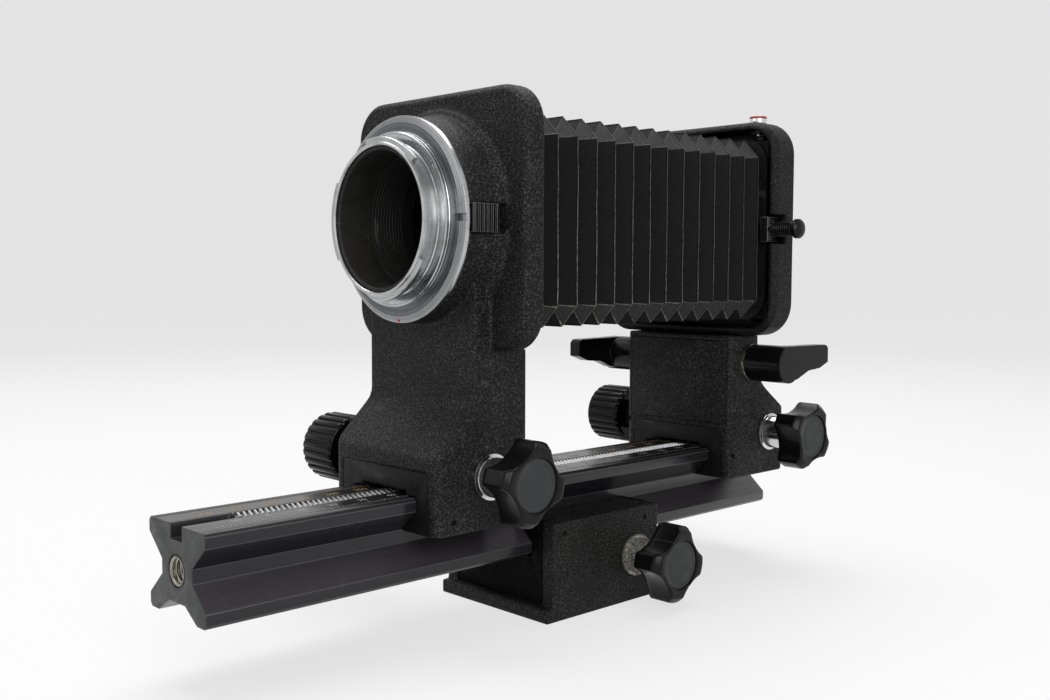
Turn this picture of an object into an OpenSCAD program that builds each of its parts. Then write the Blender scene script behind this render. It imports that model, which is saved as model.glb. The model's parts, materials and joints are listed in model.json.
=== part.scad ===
// Macro bellows unit: two standards slide on a dovetail rail, joined by folded bellows.
// X runs along the rail towards the lens, Y towards the focusing knobs, Z up.
// The origin is at the mouth of the tripod bush, under the middle of the tripod block.

/* [Rail] */
// Length of the rail
rail_l = 234.5; // [225:0.5:260]
// Length of the rail behind the middle of the block
rail_back = 134.7; // [128:0.1:140]
// Width over the dovetails
rail_w = 30; // [28:0.5:33]
// Height of the rail
rail_h = 24.1; // [23:0.1:27]
// Height of the rail's underside above the ground
rail_z = 19.3; // [18:0.1:24]
// Width of the waist between the dovetails
waist_w = 16.2; // [14:0.2:18]
// Height of the upright band at the waist
waist_h = 3.9; // [3:0.1:5]
// Height of the upright flank of each dovetail
flank_h = 3.9; // [3:0.1:5]
// Chamfer along the outer edges
rail_edge = 0.9; // [0.5:0.1:1.2]
// Width of the rack's slot
slot_w = 6.2; // [5.6:0.1:6.6]
// Depth of the rack's slot
slot_d = 4.2; // [3.6:0.1:4.6]
// Width of the notch under the rail, at its mouth
notch_w = 20.8; // [18:0.2:22]
// Width of the notch under the rail, at its roof
notch_roof_w = 8.4; // [8:0.2:10]
// Depth of the notch under the rail
notch_d = 3.8; // [3:0.1:4.2]
// Width of each scale strip
strip_w = 7; // [5:0.1:7.4]
// Thickness of each scale strip
strip_t = 0.4; // [0.2:0.1:0.6]
// Place of each scale strip's inner edge from the middle
strip_in = 3.8; // [3.6:0.1:4.2]
// Radius of the threaded insert in each end
insert_r = 4.7; // [4.2:0.1:5]
// Length of the threaded insert
insert_l = 12; // [8:0.5:16]
// Radius of the thread in the inserts and the tripod bush
thread_r = 3.175; // [2.5:0.005:3.4]

/* [Rack and pinions] */
// Module of the teeth, square to them
tooth_m = 0.5; // [0.48:0.01:0.52]
// Slant of the teeth, in degrees
helix = 20; // [10:1:25]
// Teeth on each pinion
pinion_teeth = 21; // [20:1:22]
// Width of the rack and of the pinions
rack_w = 5.4; // [4.6:0.1:5.5]
// Height of the rack
rack_h = 4.2; // [3.6:0.1:4.2]
// Distance from the rail's rear end to the rack
rack_start = 17.2; // [14:0.1:22]
// Distance from the rack to the rail's front end
rack_end = 3; // [2:0.5:5]

/* [Tripod block] */
// Length of the block
block_l = 49; // [46:0.5:54]
// Width of the block
block_w = 50; // [48:0.5:54]
// Height of the block
block_h = 30.7; // [30:0.1:31.5]
// Thickness of the base
base_t = 4.4; // [3:0.1:6]
// How far the base bows out past each end of the block
base_bow = 2.8; // [1:0.1:4]
// Place of the lock knob from the middle of the block
block_lock_x = 13.4; // [12:0.1:15]
// Height of the lock knob's axis
block_lock_z = 15; // [14:0.1:15.6]
// Radius of the clamp shoe
shoe_r = 3.9; // [3.4:0.1:4]
// Radius of the tripod bush
tripod_r = 7.5; // [6.5:0.1:8]
// Length of the tripod bush
tripod_l = 10; // [8:0.1:11]

/* [Standards] */
// Place of the camera standard's focusing shaft
camera_x = -50; // [-56:0.1:-44]
// Place of the lens standard's focusing shaft
lens_x = 88; // [84:0.1:88.6]
// Width of both feet
foot_w = 49.6; // [48:0.2:54]
// Depth of the feet below the rail's top
foot_drop = 10.2; // [9.6:0.1:10.4]
// Height of the feet above the rail's top
foot_rise = 11.8; // [11.4:0.1:14]
// Camera foot, behind the shaft
camera_foot_back = 19.9; // [18:0.1:22]
// Camera foot, in front of the shaft
camera_foot_front = 15.5; // [14:0.1:18]
// Camera column's rear face, behind the shaft
camera_column = 6.1; // [5:0.1:7]
// Lens foot, behind the shaft
lens_foot_back = 23.3; // [22:0.1:26]
// Lens foot, in front of the shaft
lens_foot_front = 10.5; // [9.5:0.1:11]
// Lens column's front face, behind the shaft
lens_column = 7.2; // [7:0.1:8]
// Height of the optical axis above the rail's top
axis_rise = 78.9; // [78:0.1:84]
// Rounding of the columns' upright edges
column_round = 3; // [1:0.1:4]

/* [Plates and bellows] */
// Width and height of the camera plate and the lens panel
plate_w = 79.4; // [78:0.2:84]
// Thickness of the camera plate
plate_t = 7.9; // [7:0.1:9]
// Rounding of the plates' corners
plate_round = 11.5; // [8:0.5:14]
// Bevel round the plates' edges
plate_bevel = 1.4; // [0.8:0.1:2]
// Depth of the lens panel
panel_t = 12.2; // [11.8:0.1:14]
// Thickness of the lens panel's front wall
panel_wall = 4.7; // [4.5:0.1:5]
// Thickness of the lens panel's rim
panel_rim = 2.8; // [2:0.1:3]
// Rear edge of the lens panel, behind the shaft
panel_back = 19.7; // [19.4:0.1:20]
// Distance of the folds' ridges inside the edge of the end frames
ridge_in = 0.5; // [0.2:0.1:2]
// Depth of each fold
fold_d = 6.5; // [5.5:0.5:7.5]
// Chamfer at the corners of each ridge
ridge_chamfer = 6.5; // [5:0.5:7]
// Number of folds
folds = 14; // [12:2:18]
// Thickness of the bellows cloth
cloth_t = 1.2; // [1:0.1:1.5]

/* [Camera mount] */
// Radius of the flange
flange_r = 30; // [29.8:0.1:30.4]
// Thickness of the flange
flange_t = 2.5; // [2:0.1:3]
// Face of the flange, behind the shaft
flange_back = 14.4; // [14:0.1:16]
// Radius of the bayonet's lugs
lug_r = 23.5; // [23.2:0.05:23.7]
// Radius of the bayonet's tube
tube_r = 22; // [21.9:0.05:22.4]
// Radius of the bayonet's hole
hole_r = 20.9; // [20:0.1:21]
// Reach of the bayonet past the flange
bayonet_l = 7.4; // [6.5:0.1:8]
// Radius of the raised seat on the flange
seat_r = 25.2; // [24.6:0.1:25.8]
// Height of the raised seat
seat_h = 2.2; // [1:0.1:2.4]
// Radius of the hub that turns in the boss
hub_r = 26; // [25.6:0.1:26.2]
// Radius of the boss at the flange
boss_r = 29.4; // [29.2:0.1:29.7]
// Radius of the boss at the plate
boss_root_r = 31.3; // [30.5:0.1:32]

/* [Lens mount] */
// Face of the lens mount, behind the shaft
lens_flange_back = 5.2; // [5.1:0.1:5.4]
// Radius of the lens mount's throat
throat_r = 22; // [21.9:0.05:22.2]
// Radius of the chamber behind the throat
chamber_r = 24; // [23.8:0.05:24.2]
// Outer radius of the tube behind the lens mount
chamber_out_r = 25.2; // [25:0.1:25.4]

/* [Knobs and levers] */
// Radius over the lobes of the lock knobs
lock_r = 12.4; // [11:0.1:12.8]
// Thickness of the lock knobs
lock_t = 10.2; // [9:0.1:12]
// Lobes on each lock knob
lobes = 4; // [3:1:6]
// Distance of the lock knobs from the casting
lock_gap = 9.4; // [8:0.1:11]
// Radius of the cap on each lock knob
cap_r = 7.7; // [7:0.1:8]
// Radius of the bushes' flanges
bush_r = 6.8; // [6.4:0.1:7.2]
// Radius of the focusing shafts and lock studs
shaft_r = 3; // [2.6:0.1:3.2]
// Radius of the focusing knobs
focus_r = 11.3; // [10:0.1:12]
// Length of the focusing knobs
focus_l = 16.4; // [13:0.1:18]
// Distance of the focusing knobs from the castings
focus_gap = 16.2; // [15:0.1:20]
// Flutes round each focusing knob
flutes = 24; // [16:1:30]
// Radius of the clamp levers' hubs
lever_r = 6.6; // [6:0.1:6.8]
// Length of the clamp levers' hubs
lever_l = 15.2; // [14:0.1:17]
// Reach of the clamp levers' wings from their axis
wing_l = 24.4; // [22:0.1:25]
// Thickness of the wings
wing_t = 4.9; // [4:0.1:5]
// Axis of the clamp levers, behind the shaft
lever_back = 12.5; // [12.4:0.1:12.8]
// Depth of the clamp levers' axis below the lens panel
lever_drop = 9.8; // [9.2:0.1:10.4]

/* [Hidden] */

// Roundness of true circles, and of the rounded shapes made of facets
$fn = 96;
facet_fn = 32;

// Clearances
slide_gap = 0.05;
run_gap = 0.05;
seat_gap = 0.1;
cover_gap = 0.5;
// How far a cut runs past what it cuts
over = 1;

// Heights on the rail
rail_top = rail_z + rail_h;
slope_h = (rail_h - 2 * flank_h - waist_h) / 2;
waist_low = rail_z + flank_h + slope_h;
waist_high = waist_low + waist_h;
waist_mid = (waist_low + waist_high) / 2;
rail_rear = -rail_back;
rail_front = rail_rear + rail_l;

// Rack and pinion
pitch_t = PI * tooth_m / cos(helix);
pinion_r = pinion_teeth * tooth_m / cos(helix) / 2;
pressure_n = 20;
pressure_t = atan(tan(pressure_n) / cos(helix));
tooth_add = 0.9 * tooth_m;
tooth_ded = 1.2 * tooth_m;
tooth_slack = 0.12 * tooth_m;
rack_x = rail_rear + rack_start;
rack_l = rail_l - rack_start - rack_end;
shaft_z = rail_top - tooth_add + pinion_r;
pinion_out_r = pinion_r + tooth_add;
pocket_r = pinion_out_r + 1.4 * tooth_m;

// Heights on the standards
foot_low = rail_top - foot_drop;
foot_high = rail_top + foot_rise;
axis_z = rail_top + axis_rise;
hump_w = 21;
hump_h = 1.7;
plate_tall_share = 0.947;
plate_h = plate_w * plate_tall_share;
plate_low = axis_z - plate_h / 2;

// Frames that the ends of the bellows are fixed to
frame_t = 1;
frame_play = 2.8;
frame_border = 8;
frame_round = 9;
frame_w = plate_h - 2 * panel_rim - 2 * frame_play;
frame_window = frame_w - 2 * frame_border;

// Camera standard, from back to front
camera_foot_x = camera_x - camera_foot_back;
camera_front_x = camera_x + camera_foot_front;
camera_column_x = camera_x - camera_column;
camera_plate_x = camera_x;
camera_plate_front = camera_plate_x + plate_t;
camera_flange_x = camera_x - flange_back;
boss_x = camera_flange_x + flange_t + seat_gap;
column_fillet = 7;
retainer_t = 1.7;
retainer_r = 27.8;
retainer_x = camera_plate_front - seat_gap - retainer_t - frame_t;

// Lens standard, from back to front
lens_foot_x = lens_x - lens_foot_back;
lens_front_x = lens_x + lens_foot_front;
lens_column_x = lens_x - lens_column;
panel_x = lens_x - panel_back;
panel_front = panel_x + panel_t;
panel_inner = panel_front - panel_wall;
lens_flange_x = lens_x - lens_flange_back;
lens_column_top = plate_low - seat_gap;
lens_foot_round = 3;
lens_foot_fillet = 14;
lens_slope = 35;
lens_foot_rise = 11.2;
lever_x = lens_x - lever_back;
lever_z = plate_low - lever_drop;
tang_t = 7;
tang_w = 32;
tang_h = 22;
tang_x = lever_x - tang_t / 2;
stud_r = 2.5;
stud_end = 11;

// Covers let into the castings
cover_w = 41;
cover_t = 1.4;
cover_in = 0.3;
cover_round = 2;
cover_rise = 7.5;
upper_cover_w = 44;
upper_cover_rise = 9.4;
upper_cover_low = rail_top + upper_cover_rise;

// Lock and focusing fittings
bush_flange_t = 1.2;
bush_neck_r = 5.8;
bush_spigot_r = 5.4;
bush_spigot_wall = 0.6;
bush_spigot_l = (foot_w - rail_w) / 2 - bush_spigot_wall;
block_spigot_l = (block_w - rail_w) / 2 - bush_spigot_wall;
lock_valley_share = 0.7;
lock_scallop = 15;
lock_bevel = 1.2;
cap_in = 0.5;
cap_t = 1.6;
stud_in_knob = 7;
shaft_meet_y = -9;
focus_bore_l = 12;
flute_w = 0.9;
flute_d = 0.8;
focus_dish_r = 8.6;
focus_dish_d = 1.2;

// Bayonet
lug_t = 1.6;
lug_arc = 60;
lug_step = 0.4;
lug_in_r = (hole_r + tube_r) / 2;
lug_starts = [166, 300, 60];
lug_arcs = [60, 66, 60];
flange_bevel = 1.9;
flange_bevel_t = 0.8;
lock_notch_w = 2;
lock_notch_d = 1.3;
lock_notch_l = 4;
sleeve_t = 1.1;
sleeve_in_r = hole_r - sleeve_t - run_gap;

// Release slider beside the camera flange
slider_l = 9.6;
slider_h = 8;
slider_in_y = boss_r - 1.9;
slider_out_y = boss_r + 1.3;
slider_travel = 1.7;
slider_ribs = 6;
slider_rib_h = 0.6;

// Stop-down lever
ring_in_r = chamber_out_r + run_gap;
ring_out_r = 28.4;
ring_t = 0.9;
ring_x = panel_inner - seat_gap - ring_t;
pin_r = 2.6;
pin_head_r = 3.4;
pin_head_t = 2.8;
pin_in = 3.3;
pin_x = panel_x + pin_in;
pin_out = 8.6;
pin_y = plate_w / 2 + pin_out;
bracket_gap = 0.8;
bracket_y = frame_w / 2 + bracket_gap;
bracket_t = 3.3;
bracket_h = 8.6;
pin_slot_h = 10;
pin_slot_front = pin_x + pin_r + cover_gap;
pad_share = 0.1;
pad_w = frame_w * pad_share;

// Lens release
release_r = 3.4;
release_y = 33.9;
release_out = 2.4;
release_pin_r = 1.2;
release_pin_y = 27.4;
release_pin_out = 1.4;
release_bridge_t = 1.2;
release_bridge_h = 6;
release_travel = 1.7;

// Cable socket on the lens panel
socket_back = 7.4;
socket_x = panel_x + socket_back;
socket_in = 13.1;
socket_y = socket_in - plate_w / 2;
socket_r = 3;
socket_h = 2.4;
socket_depth = 4;
socket_bore_r = 1.6;
socket_ring_t = 0.7;
socket_ring_w = 0.9;

// Bellows, between the two frames
bellows_x = camera_plate_front;
bellows_end = panel_inner - ring_t - 3 * seat_gap - frame_t;
bellows_l = bellows_end - bellows_x;
ridge_w = frame_w - 2 * ridge_in;
valley_w = ridge_w - 2 * fold_d;

black = [0.07, 0.07, 0.075];
gloss = [0.04, 0.04, 0.04];
silver = [0.78, 0.78, 0.79];
grey = [0.3, 0.31, 0.31];

// Directions
module along_rail(x, l) translate([x, 0, 0]) rotate([90, 0, 90]) linear_extrude(l) children();
module across(w) translate([0, w / 2, 0]) rotate([90, 0, 0]) linear_extrude(w) children();
module to_left(x, y, z) translate([x, y, z]) rotate([90, 0, 0]) children();
module to_right(x, y, z) translate([x, y, z]) rotate([-90, 0, 0]) children();
module to_front(x, y, z) translate([x, y, z]) rotate([0, 90, 0]) children();
module mirror_pair() {
    children();
    mirror([0, 1, 0]) children();
}
module rounded(w, h, r) {
    square([w - 2 * r, h], center = true);
    square([w, h - 2 * r], center = true);
    for (x = [-1, 1], y = [-1, 1])
        translate([x * (w / 2 - r), y * (h / 2 - r)]) circle(r);
}
// A slab with rounded corners and bevelled front and back edges
module bevelled_slab(w, h, t, r, bevel) {
    hull() {
        translate([0, 0, bevel]) linear_extrude(t - 2 * bevel) rounded(w, h, r, $fn = facet_fn);
        linear_extrude(t) rounded(w - 2 * bevel, h - 2 * bevel, r - bevel, $fn = facet_fn);
    }
}
// The rail's outline, with g more all round
function rail_side(g) = [
    [rail_w / 2 + g - rail_edge, rail_top + g],
    [rail_w / 2 + g, rail_top + g - rail_edge],
    [rail_w / 2 + g, rail_top - flank_h],
    [waist_w / 2 + g, waist_high],
    [waist_w / 2 + g, waist_low],
    [rail_w / 2 + g, rail_z + flank_h],
    [rail_w / 2 + g, rail_z - g + rail_edge],
    [rail_w / 2 + g - rail_edge, rail_z - g],
];
function mirrored(points) = [for (p = reversed(points)) [-p[0], p[1]]];
module rail_outline(g) polygon(concat(rail_side(g), mirrored(rail_side(g))));

module rail() color(black)
    difference() {
        along_rail(rail_rear, rail_l) difference() {
            rail_outline(0);
            translate([-slot_w / 2, rail_top - slot_d]) square([slot_w, slot_d + over]);
            polygon([
                [-notch_w / 2, rail_z - over], [-notch_w / 2, rail_z],
                [-notch_roof_w / 2, rail_z + notch_d], [notch_roof_w / 2, rail_z + notch_d],
                [notch_w / 2, rail_z], [notch_w / 2, rail_z - over],
            ]);
            for (s = [-1, 1])
                translate([s * (strip_in + strip_w / 2) - strip_w / 2, rail_top - strip_t])
                    square([strip_w, strip_t + over]);
        }
        to_front(rail_rear - over, 0, waist_mid) cylinder(r = insert_r, h = insert_l + over);
        to_front(rail_front - insert_l, 0, waist_mid) cylinder(r = insert_r, h = insert_l + over);
    }

// One groove of the rack, slanted, with its middle over x at the rack's centre line
module rack_groove(x) {
    root = PI * tooth_m / 4 - tooth_ded * tan(pressure_n) - tooth_slack / 2;
    mouth = PI * tooth_m / 4 + tooth_add * tan(pressure_n) + tooth_slack / 2;
    rise = tooth_add + tooth_ded;
    translate([x, 0, rail_top - rise])
        rotate([0, 0, -helix])
            rotate([90, 0, 0])
                translate([0, 0, -rack_w])
                    linear_extrude(2 * rack_w)
                        polygon([
                            [-root, 0], [root, 0], [mouth, rise],
                            [mouth, rise + over], [-mouth, rise + over], [-mouth, rise],
                        ]);
}
module rack() color(silver)
    difference() {
        translate([rack_x, -rack_w / 2, rail_top - rack_h]) cube([rack_l, rack_w, rack_h]);
        for (x = [rack_x : pitch_t : rack_x + rack_l]) rack_groove(x);
    }
module scale_strip(side) color(gloss)
    translate([rail_rear, side * (strip_in + strip_w / 2) - strip_w / 2, rail_top - strip_t])
        cube([rail_l, strip_w, strip_t]);
module scale_strip_left() scale_strip(1);
module scale_strip_right() scale_strip(-1);
module end_insert() difference() {
    cylinder(r = insert_r, h = insert_l);
    translate([0, 0, -over]) cylinder(r = thread_r, h = insert_l + 2 * over);
}
module rail_end_inserts() color(silver) {
    to_front(rail_rear, 0, waist_mid) end_insert();
    to_front(rail_front - insert_l, 0, waist_mid) end_insert();
}

// The channel that a foot has for the rail, with room for the rack over its middle
module foot_channel(g) {
    rail_outline(g);
    translate([-hump_w / 2, rail_top - over]) square([hump_w, hump_h + over]);
}

// Bores for the lock bush on the left and the focusing bush on the right, and the pinion's pocket
module shaft_bores(x) {
    to_right(x, -foot_w / 2 - over, shaft_z) cylinder(r = bush_spigot_r, h = bush_spigot_l + over);
    to_right(x, foot_w / 2 - bush_spigot_l, shaft_z)
        cylinder(r = bush_spigot_r, h = bush_spigot_l + over);
    to_right(x, -foot_w / 2, shaft_z) cylinder(r = shaft_r + run_gap, h = foot_w);
    to_right(x, -slot_w / 2, shaft_z) cylinder(r = pocket_r, h = slot_w);
    translate([x - pocket_r, -slot_w / 2, rail_top]) cube([2 * pocket_r, slot_w, shaft_z - rail_top]);
}
module bush(l, bore_r, spigot_l) difference() {
    union() {
        translate([0, 0, -spigot_l]) cylinder(r = bush_spigot_r, h = spigot_l);
        cylinder(r = bush_r, h = bush_flange_t);
        cylinder(r = bush_neck_r, h = l);
    }
    translate([0, 0, -spigot_l - over]) cylinder(r = bore_r, h = spigot_l + l + 2 * over);
}
module lock_bush(x, y, z, spigot_l) color(silver)
    to_left(x, y, z) bush(lock_gap - seat_gap, shaft_r + run_gap, spigot_l);
module focus_bush(x) color(gloss)
    to_right(x, foot_w / 2, shaft_z) bush(focus_gap - seat_gap, shaft_r + run_gap, bush_spigot_l);

// A cover plate let into the foot's face, its cut-out close round the rail
module foot_cover(x) color(gloss) along_rail(x, cover_t) difference() {
    translate([-cover_w / 2, foot_low]) square([cover_w, rail_top + cover_rise - foot_low]);
    foot_channel(cover_gap);
}
module foot_cover_seat(x) along_rail(x - cover_t - cover_in, 2 * (cover_t + cover_in))
    translate([-cover_w / 2, foot_low - over])
        square([cover_w, rail_top + cover_rise - foot_low + over]);

// The points of an arc about a centre, from one angle to another
function arc(x, z, r, from, to, steps = 6) =
    [for (i = [0 : steps]) let (a = from + (to - from) * i / steps) [x + r * cos(a), z + r * sin(a)]];
// The upright edges of a foot and its column, rounded, as seen from above
module foot_plan(x, front_x) translate([(x + front_x) / 2, 0, 0])
    linear_extrude(axis_z) rounded(front_x - x, foot_w, column_round);

// Camera standard
module camera_profile() {
    slope_x = camera_column_x - column_fillet * (1 - cos(45));
    slope_z = foot_high + slope_x - camera_foot_x;
    polygon([
        [camera_foot_x, foot_low], [camera_front_x, foot_low], [camera_front_x, plate_low],
        [camera_plate_front, plate_low], [camera_plate_front, axis_z - boss_r / 2],
        [camera_column_x, axis_z - boss_r / 2],
        each arc(
            camera_column_x - column_fillet, slope_z + column_fillet * sin(45),
            column_fillet, 0, -45
        ),
        [camera_foot_x, foot_high],
    ]);
}
module camera_standard() color(black)
    difference() {
        union() {
            intersection() {
                across(foot_w) camera_profile();
                foot_plan(camera_foot_x, camera_front_x);
            }
            translate([camera_plate_x, 0, axis_z]) rotate([90, 0, 90])
                bevelled_slab(plate_w, plate_h, plate_t, plate_round, plate_bevel);
            to_front(boss_x, 0, axis_z)
                cylinder(r1 = boss_r, r2 = boss_root_r, h = camera_plate_x - boss_x);
            to_front(camera_plate_x - plate_bevel, 0, axis_z)
                cylinder(r = boss_root_r + plate_bevel, h = 2 * plate_bevel);
        }
        to_front(boss_x - over, 0, axis_z)
            cylinder(r = hub_r + run_gap, h = camera_plate_front - boss_x + 2 * over);
        to_front(retainer_x - seat_gap, 0, axis_z)
            cylinder(r = retainer_r + seat_gap, h = camera_plate_front - retainer_x + over);
        camera_frame_seat();
        along_rail(camera_foot_x - over, camera_front_x - camera_foot_x + 2 * over)
            foot_channel(slide_gap);
        foot_cover_seat(camera_foot_x);
        foot_cover_seat(camera_front_x);
        shaft_bores(camera_x);
        release_seat();
    }
module camera_frame_seat() along_rail(camera_plate_front - frame_t, frame_t + over)
    translate([0, axis_z])
        rounded(frame_w + 2 * seat_gap, frame_w + 2 * seat_gap, frame_round + seat_gap);
module camera_rear_cover() foot_cover(camera_foot_x + cover_in);
module camera_front_cover() foot_cover(camera_front_x - cover_t - cover_in);
module camera_lock_bush() lock_bush(camera_x, -foot_w / 2, shaft_z, bush_spigot_l);
module camera_focus_bush() focus_bush(camera_x);
module bellows_frame(x) color(black)
    along_rail(x, frame_t) translate([0, axis_z]) difference() {
        rounded(frame_w, frame_w, frame_round);
        square(frame_window, center = true);
    }
module bellows_rear_frame() bellows_frame(camera_plate_front - frame_t);

// Camera mount, turned about the optical axis
module camera_bayonet() color(silver) difference() {
    to_front(camera_flange_x, 0, axis_z) union() {
        cylinder(r1 = flange_r - flange_bevel, r2 = flange_r, h = flange_bevel_t);
        translate([0, 0, flange_bevel_t]) cylinder(r = flange_r, h = flange_t - flange_bevel_t);
        translate([0, 0, -seat_h]) cylinder(r = seat_r, h = seat_h + flange_t);
        translate([0, 0, -bayonet_l]) cylinder(r = tube_r, h = bayonet_l);
        for (i = [0 : len(lug_starts) - 1])
            rotate([0, 0, lug_starts[i]]) translate([0, 0, lug_step - bayonet_l])
                rotate_extrude(angle = lug_arcs[i])
                    translate([lug_in_r, 0]) square([lug_r - lug_in_r, lug_t]);
    }
    to_front(camera_flange_x - bayonet_l - over, 0, axis_z)
        cylinder(r = hole_r, h = bayonet_l + flange_t + 2 * over);
    translate([camera_flange_x - over, -flange_r - over, axis_z - lock_notch_w / 2])
        cube([over + lock_notch_d, lock_notch_l + over, lock_notch_w]);
}
module camera_mount_hub() color(silver)
    to_front(camera_flange_x + flange_t, 0, axis_z) difference() {
        cylinder(r = hub_r, h = retainer_x - camera_flange_x - flange_t);
        translate([0, 0, -over])
            cylinder(r = hole_r, h = retainer_x - camera_flange_x - flange_t + 2 * over);
    }
module camera_mount_sleeve() color(gloss)
    to_front(camera_flange_x - bayonet_l + lug_t / 2, 0, axis_z) difference() {
        cylinder(r = hole_r - run_gap, h = retainer_x - camera_flange_x + bayonet_l - lug_t / 2);
        translate([0, 0, -over])
            cylinder(r = sleeve_in_r, h = retainer_x - camera_flange_x + bayonet_l + over);
    }
module camera_mount_retainer() color(gloss)
    to_front(retainer_x, 0, axis_z) difference() {
        cylinder(r = retainer_r, h = retainer_t);
        translate([0, 0, -over]) cylinder(r = sleeve_in_r, h = retainer_t + 2 * over);
    }
module release_seat()
    translate([boss_x - over, -boss_root_r - plate_bevel - over, axis_z - slider_h / 2 - seat_gap])
        cube([
            over + slider_l + slider_travel + 3 * seat_gap,
            boss_root_r + plate_bevel + over - slider_in_y,
            slider_h + 2 * seat_gap,
        ]);
module rotation_release() color(gloss) {
    rib_pitch = slider_l / slider_ribs;
    translate([boss_x + seat_gap, -slider_out_y, axis_z - slider_h / 2])
        cube([slider_l, slider_out_y - slider_in_y, slider_h]);
    for (i = [0 : slider_ribs - 1])
        translate([
            boss_x + seat_gap + (i + 0.25) * rib_pitch, -slider_out_y - slider_rib_h,
            axis_z - slider_h / 2,
        ]) cube([rib_pitch / 2, slider_rib_h + slider_rib_h, slider_h]);
}

// Focusing drives
// The involute of the pinion's base circle, at radius r, and half a tooth's angle there
function involute(r) = let (b = pinion_r * cos(pressure_t), a = acos(b / r)) tan(a) * 180 / PI - a;
function half_tooth(r) = 90 / pinion_teeth
    - (tooth_slack / pinion_r) * 90 / PI + involute(pinion_r) - involute(r);
flank_steps = 4;
pinion_base_r = pinion_r * cos(pressure_t);
pinion_root_r = pinion_r - tooth_ded;
flank_low = max(pinion_base_r, pinion_root_r);
function flank_r(i) = flank_low + (pinion_out_r - flank_low) * i / flank_steps;
function flank(side, c) = [
    for (i = [0 : flank_steps])
        let (r = flank_r(i), a = c + side * half_tooth(r)) r * [cos(a), sin(a)]
];
function root_point(side, c) =
    let (a = c + side * half_tooth(flank_low)) pinion_root_r * [cos(a), sin(a)];
function tooth_points(c) = [
    root_point(-1, c), each flank(-1, c), each reversed(flank(1, c)), root_point(1, c),
];
function reversed(points) = [for (i = [len(points) - 1 : -1 : 0]) points[i]];
module pinion(x) color(silver) {
    groove = rack_x + pitch_t * round((x - rack_x) / pitch_t);
    turn = (groove - x) / pinion_r * 180 / PI;
    twist = rack_w * tan(helix) / pinion_r * 180 / PI;
    translate([x, 0, shaft_z]) rotate([-90, 0, 0]) difference() {
        rotate([0, 0, 90 - turn + twist / 2])
            linear_extrude(rack_w, center = true, twist = twist, slices = 4)
                polygon([
                    for (k = [0 : pinion_teeth - 1]) each tooth_points(k * 360 / pinion_teeth)
                ]);
        cylinder(r = shaft_r, h = rack_w + 2 * over, center = true);
    }
}
module focus_shaft(x) color(silver)
    to_right(x, shaft_meet_y, shaft_z)
        cylinder(r = shaft_r, h = foot_w / 2 + focus_gap + focus_bore_l - shaft_meet_y);
module focus_knob(x) color(gloss)
    to_right(x, foot_w / 2 + focus_gap, shaft_z) difference() {
        cylinder(r = focus_r, h = focus_l);
        for (i = [0 : flutes - 1])
            rotate([0, 0, i * 360 / flutes])
                translate([focus_r - flute_d, -flute_w / 2, -over])
                    cube([flute_d + over, flute_w, focus_l + 2 * over]);
        translate([0, 0, -over]) cylinder(r = shaft_r, h = focus_bore_l + over);
        translate([0, 0, focus_l - focus_dish_d]) cylinder(r = focus_dish_r, h = focus_dish_d + over);
    }

// Lock knobs, their axis at x and z, their inner face at -y
module lobed_outline() difference() {
    circle(lock_r);
    for (i = [0 : lobes - 1])
        rotate(i * 360 / lobes + 180 / lobes)
            translate([lock_r * lock_valley_share + lock_scallop, 0]) circle(lock_scallop);
}
module lock_knob(x, y, z, turn) color(gloss)
    to_left(x, -y, z) rotate([0, 0, turn]) difference() {
        intersection() {
            linear_extrude(lock_t) lobed_outline();
            union() {
                cylinder(r1 = lock_r - lock_bevel / 2, r2 = lock_r, h = lock_bevel / 2);
                translate([0, 0, lock_bevel / 2]) cylinder(r = lock_r, h = lock_t - 2 * lock_bevel);
                translate([0, 0, lock_t - 1.5 * lock_bevel])
                    cylinder(r1 = lock_r, r2 = lock_r - 1.5 * lock_bevel, h = 1.5 * lock_bevel);
            }
        }
        translate([0, 0, -over]) cylinder(r = shaft_r, h = stud_in_knob + over);
        translate([0, 0, lock_t - cap_t - cap_in]) cylinder(r = cap_r, h = cap_t + cap_in + over);
    }
module lock_cap(x, y, z) color(grey)
    to_left(x, -y - lock_t + cap_t + cap_in, z) cylinder(r = cap_r, h = cap_t);
module lock_stud(x, y, z, end_y) color(silver)
    to_left(x, -end_y, z) cylinder(r = shaft_r, h = y - end_y + stud_in_knob);

camera_knob_turn = 76;
lens_knob_turn = 58;
block_knob_turn = 80;
lock_y = foot_w / 2 + lock_gap;
block_lock_y = block_w / 2 + lock_gap;
module camera_focus_shaft() focus_shaft(camera_x);
module camera_pinion() pinion(camera_x);
module camera_focus_knob() focus_knob(camera_x);
module camera_lock_knob() lock_knob(camera_x, lock_y, shaft_z, camera_knob_turn);
module camera_lock_cap() lock_cap(camera_x, lock_y, shaft_z);
module camera_lock_stud() lock_stud(camera_x, lock_y, shaft_z, run_gap - shaft_meet_y);

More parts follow.
